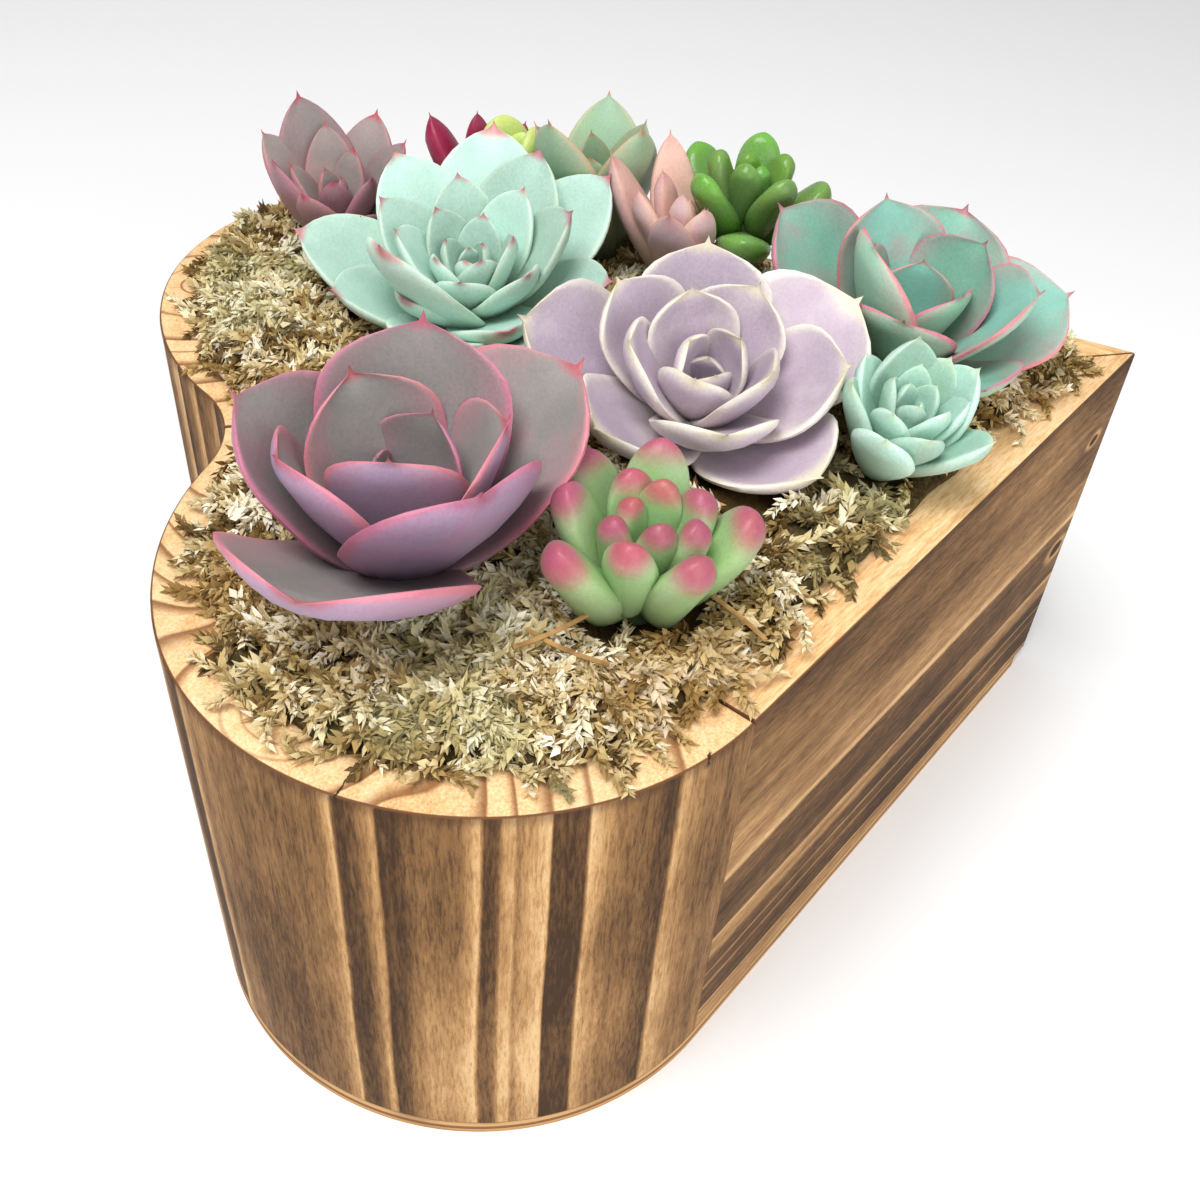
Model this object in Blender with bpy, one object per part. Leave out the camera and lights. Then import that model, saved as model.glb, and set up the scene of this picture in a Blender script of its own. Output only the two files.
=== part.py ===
# Succulent arrangement in a heart-shaped wooden planter.
#
# The planter is two solid lobe blocks with upright grain and two straight side boards,
# glued edge to edge on a thin plywood base. Potting soil fills it, a mat of dry moss
# covers the soil and spills over the rim, and twelve succulents stand in holes in both.
#
# Frame: metres, +Z up, origin at the underside of the base, on the heart's mirror line,
# half way along it. The point of the heart is at -Y and its two lobes are at +Y.

import math
import random

import bmesh
import bpy
from mathutils import Matrix, Vector
from mathutils.bvhtree import BVHTree

MM = 0.001

# Planter, seen from above
HEART_LENGTH = 230 * MM
SIDE_ANGLE = math.radians(37.5)  # each straight side, away from the mirror line
SIDE_LENGTH = 165 * MM
LOBE_SIDE_RADIUS = 61.5 * MM
LOBE_SIDE_SWEEP = math.radians(117.6)
LOBE_TOP_RADIUS = 71.7 * MM
NOTCH_RADIUS = 26 * MM
WALL = 12 * MM

# Planter, seen from the side
BASE_THICKNESS = 3.7 * MM
WALL_BOTTOM = 4 * MM
RIM = 104 * MM  # height of the rim
EDGE_BEVEL = 0.7 * MM
TIP_ROUNDING = 6 * MM  # the base's corner under the point

GAP = 0.3 * MM  # between pieces that touch
ARC_STEP = math.radians(8)

# Filling
SOIL_TOP = 88 * MM
STEM_DEPTH = 14 * MM  # how far a stem goes below the top of the soil
MOSS_BOTTOM = SOIL_TOP + GAP
MOSS_RINGS = 8
MOSS_SPACING = 16 * MM
MOSS_SPILL = 3.5 * MM  # how far the moss lies over the rim, on average
MOSS_RISE = 3 * MM  # moss above the rim, at the walls
MOSS_MOUND = 8 * MM  # and between the plants
MOSS_LIP = 1.6 * MM  # its top at the edge that lies on the rim
MOSS_DIP = 6  # millimetres from a rosette's foot down to the moss
MOSS_DIP_SHARE = 0.3  # how much of the outer leaves' length the dip covers
MOSS_BANK = 0.4  # slope of the dip's side

# Colours are linear RGB
WOOD_TOP = (0.52, 0.29, 0.13)
WOOD_BURNT = (0.17, 0.09, 0.045)
PLYWOOD = (0.45, 0.29, 0.16)
SOIL = (0.03, 0.02, 0.013)
MOSS = (0.46, 0.38, 0.2)

GOLDEN_ANGLE = math.radians(137.508)


# The plants

# A leaf's outline: its width at the base as a share of the widest, where it is widest
# along its length, how blunt it ends, and the share of its length that is the fine point.
SPOON = {"base": 0.42, "belly": 0.66, "blunt": 2.6, "point": 0.07}
OVAL = {"base": 0.45, "belly": 0.58, "blunt": 2.0, "point": 0.05}
PETAL = {"base": 0.5, "belly": 0.52, "blunt": 1.7, "point": 0.06}
BEAN = {"base": 0.35, "belly": 0.6, "blunt": 2.6, "point": 0.0}

# Sizes in millimetres and angles in degrees. Lengths and leans run from the innermost
# leaf to the outermost. A lean is the leaf's rise above the plane of the rosette, and a
# tilt is which way the whole rosette leans, and how far. The stalk is the height over
# which the leaves are set, and the spread is how far out the lowest ones are rooted. Turn
# is the way the leaves wind. A plant that comes first keeps its leaves where they are
# wanted, and a later one bends clear of it.
PLANTS = [
    dict(
        name="jelly_bean_sedum", at=(-70, 29), seat=106, tilt=(175, 8), leaves=16,
        start=40, turn=1, length=(10, 29), grow=0.42, lean=(88, 52), width=0.45, thick=11.0,
        cup=0.0, bend=10, stalk=7, spread=3.0, leaf=BEAN, colour=(0.4, 0.52, 0.26),
    ),
    dict(
        name="purple_echeveria", at=(-54, 69), seat=107, tilt=(165, 3), leaves=12,
        start=133, turn=-1, length=(12, 50), grow=0.42, lean=(82, 40), width=0.84, thick=5.0,
        cup=0.32, bend=20, stalk=2, spread=2.2, leaf=SPOON, colour=(0.36, 0.19, 0.26),
    ),
    dict(
        name="lilac_echeveria", at=(-21, 5), seat=111, tilt=(175, 20), leaves=18,
        start=18, turn=-1, length=(8, 42), grow=0.6, lean=(86, 24), width=0.82, thick=5.6,
        cup=0.3, bend=34, stalk=4, spread=2.2, leaf=SPOON, colour=(0.42, 0.34, 0.42),
    ),
    dict(
        name="mint_echeveria", at=(34, 42), seat=106, tilt=(160, 18), leaves=30,
        start=2, turn=1, length=(8, 47), grow=0.75, lean=(86, 20), width=0.6, thick=5.6,
        cup=0.24, bend=24, stalk=8, spread=2.2, leaf=OVAL, colour=(0.42, 0.6, 0.5),
    ),
    dict(
        name="red_edged_echeveria", at=(-2, -48), seat=108, tilt=(190, 12), leaves=14,
        start=163, turn=-1, length=(10, 45), grow=0.5, lean=(84, 30), width=0.86, thick=4.6,
        cup=0.28, bend=24, stalk=3, spread=2.2, leaf=SPOON, colour=(0.25, 0.46, 0.38),
    ),
    dict(
        name="small_mint_echeveria", at=(-37, -32), seat=107, tilt=(200, 16), leaves=18,
        start=10, turn=1, length=(8, 29), grow=0.7, lean=(86, 40), width=0.56, thick=5.4,
        cup=0.2, bend=18, stalk=9, spread=2.2, leaf=OVAL, colour=(0.38, 0.62, 0.5),
    ),
    dict(
        name="green_sedum", at=(45, -26), seat=117, tilt=(190, 6), leaves=12,
        start=0, turn=1, length=(10, 25), grow=0.6, lean=(88, 34), width=0.52, thick=9.8,
        cup=0.0, bend=12, stalk=8, spread=2.6, leaf=BEAN, colour=(0.14, 0.3, 0.05),
    ),
    dict(
        name="peach_pachyphytum", at=(40, -10), seat=111, tilt=(180, 8), leaves=16,
        start=70, turn=1, length=(9, 34), grow=0.7, lean=(88, 50), width=0.4, thick=7.4,
        cup=0.08, bend=14, stalk=8, spread=2.2, leaf=PETAL, colour=(0.55, 0.36, 0.31),
    ),
    dict(
        name="grey_green_echeveria", at=(63, 6), seat=107, tilt=(180, 0), leaves=8,
        start=150, turn=1, length=(18, 42), grow=0.6, lean=(82, 50), width=0.6, thick=5.0,
        cup=0.2, bend=14, stalk=4, spread=2.2, leaf=PETAL, colour=(0.27, 0.4, 0.24),
    ),
    dict(
        name="mauve_graptoveria", at=(76, 70), seat=105, tilt=(165, 10), leaves=16,
        start=30, turn=1, length=(10, 37), grow=0.7, lean=(84, 36), width=0.56, thick=5.6,
        cup=0.2, bend=18, stalk=7, spread=2.2, leaf=PETAL, colour=(0.4, 0.24, 0.26),
    ),
    dict(
        name="yellow_sedum", at=(77, 25), seat=108, tilt=(180, 0), leaves=6,
        start=100, turn=1, length=(12, 27), grow=0.6, lean=(84, 54), width=0.6, thick=8.6,
        cup=0.05, bend=12, stalk=6, spread=2.2, leaf=BEAN, colour=(0.5, 0.58, 0.2),
    ),
    dict(
        name="red_sedum", at=(88, 31), seat=108, tilt=(180, 0), leaves=6,
        start=10, turn=1, length=(12, 28), grow=0.6, lean=(84, 58), width=0.44, thick=8.4,
        cup=0.05, bend=12, stalk=6, spread=2.2, leaf=PETAL, colour=(0.28, 0.03, 0.07),
    ),
]

STEM_RADIUS = 4 * MM
CROWN_RADIUS = 5 * MM
LEAF_SIDES = 5
LEAF_STATIONS = (0, 0.06, 0.4, 0.74, 0.91, 1)  # its rings, from root to tip
CLEARANCE = 0.45 * MM  # each leaf keeps this much to what is already in place
LIFT_STEP = 5  # degrees
STEEPEST = 86  # degrees
SHORTEN = 0.88
SHORTENINGS = 5


# Helpers


def clear_scene():
    for obj in list(bpy.data.objects):
        bpy.data.objects.remove(obj, do_unlink=True)


def material(name, colour, roughness):
    made = bpy.data.materials.new(name)
    made.use_nodes = True
    shader = made.node_tree.nodes["Principled BSDF"]
    shader.inputs["Base Color"].default_value = (*colour, 1)
    shader.inputs["Roughness"].default_value = roughness
    shader.inputs["Metallic"].default_value = 0
    made.diffuse_color = (*colour, 1)
    return made


def add_object(name, bm, finish=None):
    """The bmesh as a named object, facing out, shaded smooth except across sharp edges."""
    bmesh.ops.recalc_face_normals(bm, faces=bm.faces)
    if bm.calc_volume(signed=True) < 0:
        bmesh.ops.reverse_faces(bm, faces=bm.faces)
    mesh = bpy.data.meshes.new(name)
    bm.to_mesh(mesh)
    bm.free()
    mesh.shade_smooth()
    mesh.set_sharp_from_angle(angle=math.radians(35))
    if finish:
        mesh.materials.append(finish)
    obj = bpy.data.objects.new(name, mesh)
    bpy.context.scene.collection.objects.link(obj)
    return obj


def between(start, end, share):
    return start + (end - start) * share


# The heart's outline


def arc_points(centre, radius, first, last):
    steps = max(2, round(abs(last - first) / ARC_STEP))
    angles = [between(first, last, i / steps) for i in range(steps + 1)]
    return [centre + radius * Vector((math.cos(a), math.sin(a))) for a in angles]


def lobe_path(inset):
    """The right lobe's edge, moved inwards by inset: from the side board to the notch."""
    along = Vector((math.sin(SIDE_ANGLE), math.cos(SIDE_ANGLE)))
    inwards = Vector((-math.cos(SIDE_ANGLE), math.sin(SIDE_ANGLE)))
    tangent = Vector((0, -HEART_LENGTH / 2)) + along * SIDE_LENGTH
    side_centre = tangent + inwards * LOBE_SIDE_RADIUS
    side_first = -SIDE_ANGLE
    side_last = side_first + LOBE_SIDE_SWEEP
    turned = Vector((math.cos(side_last), math.sin(side_last)))
    top_centre = side_centre + turned * (LOBE_SIDE_RADIUS - LOBE_TOP_RADIUS)
    notch_rise = math.sqrt((LOBE_TOP_RADIUS + NOTCH_RADIUS) ** 2 - top_centre.x**2)
    notch_centre = Vector((0, top_centre.y + notch_rise))
    top_last = math.atan2(notch_rise, -top_centre.x)
    side = arc_points(side_centre, LOBE_SIDE_RADIUS - inset, side_first, side_last)
    top = arc_points(top_centre, LOBE_TOP_RADIUS - inset, side_last, top_last)
    notch = arc_points(notch_centre, NOTCH_RADIUS + inset, top_last - math.pi, -math.pi / 2)
    return side + top[1:] + notch[1:]


def point_of_heart(inset):
    return Vector((0, -HEART_LENGTH / 2 + inset / math.sin(SIDE_ANGLE)))


def mirrored(points):
    return [Vector((-p.x, p.y)) for p in points]


def heart_outline(inset):
    """The whole outline, anticlockwise from the point."""
    right = lobe_path(inset)
    return [point_of_heart(inset), *right, *mirrored(right[:-1])[::-1]]


def prism(outline, low, high):
    bm = bmesh.new()
    floor = bm.faces.new([bm.verts.new((p.x, p.y, low)) for p in outline])
    raised = bmesh.ops.extrude_face_region(bm, geom=[floor])
    top = [g for g in raised["geom"] if isinstance(g, bmesh.types.BMVert)]
    bmesh.ops.translate(bm, verts=top, vec=(0, 0, high - low))
    return bm


def bevel_rim(bm, width):
    """Rounds the edges of the top face."""
    high = max(v.co.z for v in bm.verts)
    edges = [e for e in bm.edges if all(abs(v.co.z - high) < 1e-6 for v in e.verts)]
    bmesh.ops.bevel(
        bm, geom=edges, offset=width, offset_type="OFFSET", segments=1, profile=0.5,
        affect="EDGES", material=-1, clamp_overlap=True,
    )


# The planter


def make_base(finish):
    outline = heart_outline(0)[1:]
    start = outline[0] - point_of_heart(0)
    cut = point_of_heart(0) + start.normalized() * TIP_ROUNDING
    blunt = point_of_heart(0) + Vector((0, TIP_ROUNDING * 0.4))
    corner = [Vector((-cut.x, cut.y)), blunt, cut]
    add_object("base_board", prism([*corner, *outline], 0, BASE_THICKNESS), finish)


def make_lobe(name, mirror, finish):
    seam = Vector((GAP / 2, 0))
    outer = lobe_path(0)
    inner = lobe_path(WALL)
    outer[-1] = outer[-1] + seam
    inner[-1] = inner[-1] + seam
    outline = [*outer, *inner[::-1]]
    if mirror:
        outline = mirrored(outline)
    bm = prism(outline, WALL_BOTTOM, RIM)
    bevel_rim(bm, EDGE_BEVEL)
    add_object(name, bm, finish)


def make_side(name, mirror, finish):
    along = Vector((math.sin(SIDE_ANGLE), math.cos(SIDE_ANGLE)))
    mitre = Vector((GAP / 2, GAP / 2 / math.tan(SIDE_ANGLE)))
    outline = [
        point_of_heart(0) + mitre,
        lobe_path(0)[0] - along * GAP,
        lobe_path(WALL)[0] - along * GAP,
        point_of_heart(WALL) + mitre,
    ]
    if mirror:
        outline = mirrored(outline)
    bm = prism(outline, WALL_BOTTOM, RIM)
    bevel_rim(bm, EDGE_BEVEL)
    add_object(name, bm, finish)


# Soil and moss


def stem_cutter(plant):
    """A drill for the plain hole that a stem stands in."""
    x, y = plant["at"]
    bottom = SOIL_TOP - STEM_DEPTH - GAP
    height = RIM + 20 * MM - bottom
    bm = bmesh.new()
    bmesh.ops.create_cone(
        bm, cap_ends=True, segments=10, radius1=STEM_RADIUS + GAP, radius2=STEM_RADIUS + GAP,
        depth=height, matrix=Matrix.Translation((x * MM, y * MM, bottom + height / 2)),
    )
    return add_object("hole_for_" + plant["name"], bm)


def apply_boolean(obj, tools, operation):
    """Joins the tools to the object, or cuts them from it, and removes them."""
    group = bpy.data.collections.new(obj.name + "_tools")
    for tool in tools:
        group.objects.link(tool)
    change = obj.modifiers.new("tools", "BOOLEAN")
    change.operation = operation
    change.operand_type = "COLLECTION"
    change.collection = group
    change.solver = "EXACT"
    bpy.context.view_layer.update()
    graph = bpy.context.evaluated_depsgraph_get()
    result = bpy.data.meshes.new_from_object(obj.evaluated_get(graph))
    obj.modifiers.clear()
    obj.data = result
    for tool in tools:
        bpy.data.objects.remove(tool, do_unlink=True)
    bpy.data.collections.remove(group)


def make_soil(finish):
    outline = heart_outline(WALL + GAP)
    soil = add_object("potting_soil", prism(outline, WALL_BOTTOM, SOIL_TOP), finish)
    apply_boolean(soil, [stem_cutter(p) for p in PLANTS], "DIFFERENCE")


def stations(outline, spacing):
    """The outline with points added along its long straight sides."""
    points = []
    for here, after in zip(outline, outline[1:] + outline[:1]):
        steps = max(1, round((after - here).length / spacing))
        points += [here.lerp(after, i / steps) for i in range(steps)]
    return points


def moss_height(x, y, share):
    """Top of the moss. It dips under each plant, and share runs from middle to edge."""
    ripple = (
        math.sin(x / (6.1 * MM) + 1.3) * math.cos(y / (5.3 * MM))
        + 0.6 * math.sin((x + y) / (3.9 * MM))
        + 0.5 * math.cos((x - 1.7 * y) / (4.7 * MM) + 0.6)
    )
    height = RIM + MOSS_MOUND + 1.1 * MM * ripple
    for plant in PLANTS:
        away = math.hypot(x - plant["at"][0] * MM, y - plant["at"][1] * MM)
        beyond = max(0.0, away - MOSS_DIP_SHARE * plant["length"][1] * MM)
        height = min(height, (plant["seat"] - MOSS_DIP) * MM + MOSS_BANK * beyond)
    edge = max(0.0, share - 0.7) / 0.3
    return max(between(height, RIM + MOSS_RISE, edge**2), RIM + MOSS_LIP * edge)


def spill_of(out):
    """How far past the mouth the moss reaches, in one direction from the middle."""
    angle = math.atan2(out.y, out.x)
    wave = 0.5 * math.sin(5 * angle + 1) + 0.35 * math.sin(11 * angle)
    return WALL * 0.08 + MOSS_SPILL * (1 + wave + 0.3 * math.sin(23 * angle))


def make_moss(finish):
    """A mat in the mouth of the planter that lies over the rim, with a rippled top. A
    sphere's vertices are moved into its shape, ring by ring from the middle of the top to
    the middle of the underside."""
    mouth = stations(heart_outline(WALL + GAP), MOSS_SPACING)
    middle = Vector((0, 15 * MM))
    rings = MOSS_RINGS + 4
    bm = bmesh.new()
    bmesh.ops.create_uvsphere(bm, u_segments=len(mouth), v_segments=rings, radius=1)
    for vert in bm.verts:
        ring = round(math.acos(max(-1, min(1, vert.co.z))) / math.pi * rings)
        turn = math.atan2(vert.co.y, vert.co.x) / (2 * math.pi)
        out = mouth[round(turn * len(mouth)) % len(mouth)] - middle
        spilt = middle + out * (1 + spill_of(out) / out.length)
        share = min(1, ring / (MOSS_RINGS - 1))
        if ring < MOSS_RINGS:
            place = middle + out * share
            height = moss_height(place.x, place.y, share)
        elif ring <= MOSS_RINGS + 1:
            place = spilt
            height = RIM + GAP if ring > MOSS_RINGS else RIM + MOSS_LIP
        elif ring < rings:
            place = middle + out
            height = RIM + GAP if ring == MOSS_RINGS + 2 else MOSS_BOTTOM
        else:
            place, height = middle, MOSS_BOTTOM
        vert.co = (place.x, place.y, height)
    moss = add_object("moss_bed", bm, finish)
    apply_boolean(moss, [stem_cutter(p) for p in PLANTS], "DIFFERENCE")


# Leaves


def leaf_outline(shape, u):
    """Half width at u along the leaf, as a share of the widest."""
    blade = 1 - shape["point"]
    v = min(u / blade, 1)
    if v < shape["belly"]:
        wide = between(shape["base"], 1, math.sin(math.pi / 2 * v / shape["belly"]))
    else:
        rest = (v - shape["belly"]) / (1 - shape["belly"])
        wide = max(0.0, 1 - rest ** shape["blunt"]) ** 0.62
    point = 0.16 * max(0.0, 1 - u) / (2 * shape["point"]) if shape["point"] else 0
    return max(wide, min(point, 0.16))


def station(share):
    """Where along a leaf the ring lies that is this share of the way from root to tip."""
    place = share * (len(LEAF_STATIONS) - 1)
    low = min(int(place + 1e-6), len(LEAF_STATIONS) - 2)
    return between(LEAF_STATIONS[low], LEAF_STATIONS[low + 1], place - low)


def make_leaf(sizes, swell=0):
    """A fleshy leaf along +Y, its inner face up. A sphere's vertices are moved into its
    shape: rings along the length, with a rounded section that cups up at its edges."""
    length, width, thick = sizes["length"], sizes["width"], sizes["thick"]
    bend = math.radians(max(sizes["bend"], 0.01))
    bm = bmesh.new()
    bmesh.ops.create_uvsphere(bm, u_segments=LEAF_SIDES, v_segments=len(LEAF_STATIONS) - 1, radius=1)
    for vert in bm.verts:
        u = station(1 - math.acos(max(-1, min(1, vert.co.z))) / math.pi)
        around = math.atan2(vert.co.y, vert.co.x) + math.pi / 2
        is_pole = math.hypot(vert.co.x, vert.co.y) < 1e-4
        half = 0 if is_pole else leaf_outline(sizes["leaf"], u) * width / 2 + swell
        flesh = min(1, 1.5 * leaf_outline(sizes["leaf"], u)) * (1 - 0.4 * u) * thick
        flesh = 0 if is_pole else flesh + 2 * swell
        across, up = math.cos(around), math.sin(around)
        rise = flesh * (0.35 if up > 0 else 0.65) * up
        rise += sizes["cup"] * half * across**2
        turn = bend * (u - 0.5)
        reach = length * (math.sin(turn) + math.sin(bend / 2)) / bend
        lift = length * (math.cos(bend / 2) - math.cos(turn)) / bend
        vert.co = Vector(
            (half * across, reach - rise * math.sin(turn), lift + rise * math.cos(turn))
        )
    return bm


def leaf_sizes(plant, index):
    """Sizes of one leaf, counted from the middle of the rosette outwards. No two leaves
    are quite alike."""
    drawn = random.Random(plant["name"] + str(index))
    age = index / (plant["leaves"] - 1)
    length = between(*plant["length"], age ** plant["grow"]) * MM * drawn.uniform(0.93, 1.05)
    turned = plant["start"] + drawn.uniform(-6, 6)
    return {
        "length": length,
        "width": length * plant["width"] * between(0.85, 1, age),
        "thick": plant["thick"] * between(0.5, 1, age**0.6) * MM,
        "cup": plant["cup"],
        "bend": plant["bend"],
        "leaf": plant["leaf"],
        "lean": between(*plant["lean"], age) + drawn.uniform(-4, 4),
        "azimuth": math.radians(turned) + plant["turn"] * index * GOLDEN_ANGLE,
        "height": plant["stalk"] * (1 - age) * MM,
        "root": plant["spread"] * age * MM,
    }


def crown_matrix(plant):
    """From the rosette's own frame to the planter's: its foot, and its tilt."""
    x, y = plant["at"]
    towards, amount = (math.radians(a) for a in plant["tilt"])
    hinge = Vector((-math.sin(towards), math.cos(towards), 0))
    place = Matrix.Translation((x * MM, y * MM, plant["seat"] * MM))
    return place @ Matrix.Rotation(amount, 4, hinge)


def leaf_matrix(plant, sizes, lean):
    return (
        crown_matrix(plant)
        @ Matrix.Rotation(sizes["azimuth"], 4, "Z")
        @ Matrix.Translation((0, sizes["root"], sizes["height"]))
        @ Matrix.Rotation(math.radians(lean), 4, "X")
    )


def tree_of(bm):
    tree = BVHTree.FromBMesh(bm)
    bm.free()
    return tree


def place_leaf(plant, sizes, obstacles):
    """The leaf where it clears every obstacle: it lifts first, and then is shorter. It is
    left out where even a short one would not clear them."""
    for _ in range(SHORTENINGS):
        lean = sizes["lean"]
        while lean <= STEEPEST:
            probe = make_leaf(sizes, swell=CLEARANCE)
            probe.transform(leaf_matrix(plant, sizes, lean))
            tree = tree_of(probe)
            if not any(tree.overlap(o) for o in obstacles):
                leaf = make_leaf(sizes)
                leaf.transform(leaf_matrix(plant, sizes, lean))
                return leaf
            lean += LIFT_STEP
        for size in ("length", "width"):
            sizes[size] *= SHORTEN
    return None


def core_shapes(plant, swell=0):
    """A plant's stem, which reaches into the soil, and the crown that its leaves grow on."""
    x, y = plant["at"]
    top = (plant["seat"] + 1) * MM
    bottom = SOIL_TOP - STEM_DEPTH
    radius = STEM_RADIUS + swell
    stem = bmesh.new()
    bmesh.ops.create_cone(
        stem, cap_ends=True, segments=8, radius1=radius, radius2=radius, depth=top - bottom,
        matrix=Matrix.Translation((x * MM, y * MM, (top + bottom) / 2)),
    )
    crown = bmesh.new()
    bmesh.ops.create_uvsphere(crown, u_segments=8, v_segments=6, radius=1)
    tall = (plant["stalk"] + 4) * MM / 2 + swell
    wide = CROWN_RADIUS + swell
    bmesh.ops.scale(crown, verts=crown.verts, vec=(wide, wide, tall))
    bmesh.ops.translate(crown, verts=crown.verts, vec=(0, 0, tall - swell - 2 * MM))
    crown.transform(crown_matrix(plant))
    return [stem, crown]


def make_plant(plant, obstacles, finish):
    """A stem and crown, with leaves in a golden-angle spiral, joined in one body."""
    leaves = [
        place_leaf(plant, leaf_sizes(plant, i), obstacles) for i in range(plant["leaves"])
    ]
    stem, crown = core_shapes(plant)
    body = add_object(plant["name"], stem, finish)
    tools = [add_object("crown", crown)] + [add_object("leaf", bm) for bm in leaves if bm]
    apply_boolean(body, tools, "UNION")
    keep_outer_skin(body)
    return body


def keep_outer_skin(obj):
    """Fills hollows that the union sealed and drops loose scraps: of the mesh's separate
    surfaces, the longest one stays."""
    bm = bmesh.new()
    bm.from_mesh(obj.data)
    bmesh.ops.triangulate(bm, faces=bm.faces)
    left, surfaces = set(bm.faces), []
    while left:
        found = [left.pop()]
        for face in found:
            joined = [e for e in face.edges if len(e.link_faces) == 2]
            beside = {f for e in joined for f in e.link_faces} & left
            left -= beside
            found += beside
        surfaces.append(found)
    surfaces.sort(key=len)
    for surface in surfaces[:-1]:
        bmesh.ops.delete(bm, geom=surface, context="FACES")
    bm.to_mesh(obj.data)
    bm.free()


def tree_of_object(obj):
    bm = bmesh.new()
    bm.from_mesh(obj.data)
    return tree_of(bm)


def main():
    clear_scene()
    burnt = material("burnt_wood", WOOD_BURNT, 0.6)
    make_base(material("plywood", PLYWOOD, 0.7))
    make_lobe("right_lobe_block", False, burnt)
    make_lobe("left_lobe_block", True, burnt)
    make_side("right_side_board", False, burnt)
    make_side("left_side_board", True, burnt)
    make_soil(material("soil", SOIL, 0.95))
    make_moss(material("moss", MOSS, 0.9))
    walls = ["left_lobe_block", "right_lobe_block", "left_side_board", "right_side_board"]
    fixed = [tree_of_object(bpy.data.objects[n]) for n in [*walls, "moss_bed"]]
    cores = {p["name"]: [tree_of(bm) for bm in core_shapes(p, CLEARANCE)] for p in PLANTS}
    for plant in PLANTS:
        others = [tree for name in cores if name != plant["name"] for tree in cores[name]]
        finish = material(plant["name"], plant["colour"], 0.5)
        fixed.append(tree_of_object(make_plant(plant, fixed + others, finish)))


main()
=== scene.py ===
# %% [markdown]
# # Succulents in a heart-shaped planter
#
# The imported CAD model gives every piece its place. This lesson dresses it: the walls get
# smooth curves and torched timber, the rosettes get fleshy leaves with coloured edges, and
# the moss becomes thousands of small dry sprigs. Everything is in metres, in the CAD
# model's own frame: +Z is up, and the heart's point is at -Y.

import math
import random

import bmesh
import bpy
import numpy as np
from mathutils import Matrix, Vector, noise
from mathutils.bvhtree import BVHTree


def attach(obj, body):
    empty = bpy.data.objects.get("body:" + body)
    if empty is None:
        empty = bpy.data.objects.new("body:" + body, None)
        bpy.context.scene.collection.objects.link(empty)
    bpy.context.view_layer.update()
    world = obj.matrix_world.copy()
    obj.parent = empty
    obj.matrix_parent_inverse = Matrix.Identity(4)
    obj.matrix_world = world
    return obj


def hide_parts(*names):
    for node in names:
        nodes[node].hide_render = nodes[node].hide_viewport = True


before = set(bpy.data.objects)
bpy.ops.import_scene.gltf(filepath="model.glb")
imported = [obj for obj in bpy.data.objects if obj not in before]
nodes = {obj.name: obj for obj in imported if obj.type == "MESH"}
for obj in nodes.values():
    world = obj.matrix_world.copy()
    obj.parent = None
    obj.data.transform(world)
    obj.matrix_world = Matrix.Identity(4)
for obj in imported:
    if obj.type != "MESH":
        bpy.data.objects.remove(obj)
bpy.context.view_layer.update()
MM = 0.001
print("CAD nodes:", len(nodes))

# %% [markdown]
# The planter's sizes are the same as in the CAD source: two lobes of two arcs each, two
# straight sides, walls of one thickness, and the rim's height.

# %% Sizes of the planter
HEART_LENGTH = 230 * MM
SIDE_ANGLE = math.radians(37.5)
SIDE_LENGTH = 165 * MM
LOBE_SIDE_RADIUS = 61.5 * MM
LOBE_SIDE_SWEEP = math.radians(117.6)
LOBE_TOP_RADIUS = 71.7 * MM
NOTCH_RADIUS = 26 * MM
WALL = 12 * MM
BASE_THICKNESS = 3.7 * MM
WALL_BOTTOM = 4 * MM
RIM = 104 * MM
TIP_ROUNDING = 6 * MM
GAP = 0.3 * MM
SEAM = 0.06 * MM  # a glued joint, which shows less than the CAD model's gap
SOIL_TOP = 88 * MM
STEM_DEPTH = 14 * MM
ARC_STEP = math.radians(2)
GOLDEN_ANGLE = math.radians(137.508)
ALONG_SIDE = Vector((math.sin(SIDE_ANGLE), math.cos(SIDE_ANGLE)))  # from point to lobe


def between(start, end, share):
    return start + (end - start) * share


def smooth(low, high, value):
    share = min(1, max(0, (value - low) / (high - low)))
    return share * share * (3 - 2 * share)


print("Height of the walls:", round(RIM - WALL_BOTTOM, 3))

# %% [markdown]
# Node trees are long when each node is written out, so a few helpers add a node, link or
# set its inputs, and return the output that the next node reads. Colours are written as
# the hex values that a screen shows, and turned into the linear values that Blender uses.


# %% Helpers for nodes
def colour(hex_code):
    parts = [int(hex_code[i : i + 2], 16) / 255 for i in (0, 2, 4)]
    linear = [p / 12.92 if p <= 0.04045 else ((p + 0.055) / 1.055) ** 2.4 for p in parts]
    return (*linear, 1)


def set_inputs(node, inputs):
    """Links each input to the output given for it, or sets it. Text is a colour's hex code."""
    for socket, value in inputs.items():
        if isinstance(value, bpy.types.NodeSocket):
            node.id_data.links.new(value, node.inputs[socket])
        else:
            value = colour(value) if isinstance(value, str) else value
            node.inputs[socket].default_value = value


def add(tree, kind, inputs=(), **settings):
    node = tree.nodes.new("ShaderNode" + kind)
    for name, value in settings.items():
        setattr(node, name, value)
    set_inputs(node, dict(inputs))
    return node


def calc(tree, operation, *values):
    return add(tree, "Math", enumerate(values), operation=operation).outputs[0]


def times(tree, first, *others):
    for other in others:
        first = calc(tree, "MULTIPLY", first, other)
    return first


def distance(tree, x, y):
    return calc(tree, "SQRT", calc(tree, "MULTIPLY_ADD", x, x, times(tree, y, y)))


def mix(tree, share, first, second):
    inputs = {0: share, 6: first, 7: second}
    return add(tree, "Mix", inputs, data_type="RGBA").outputs[2]


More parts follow.
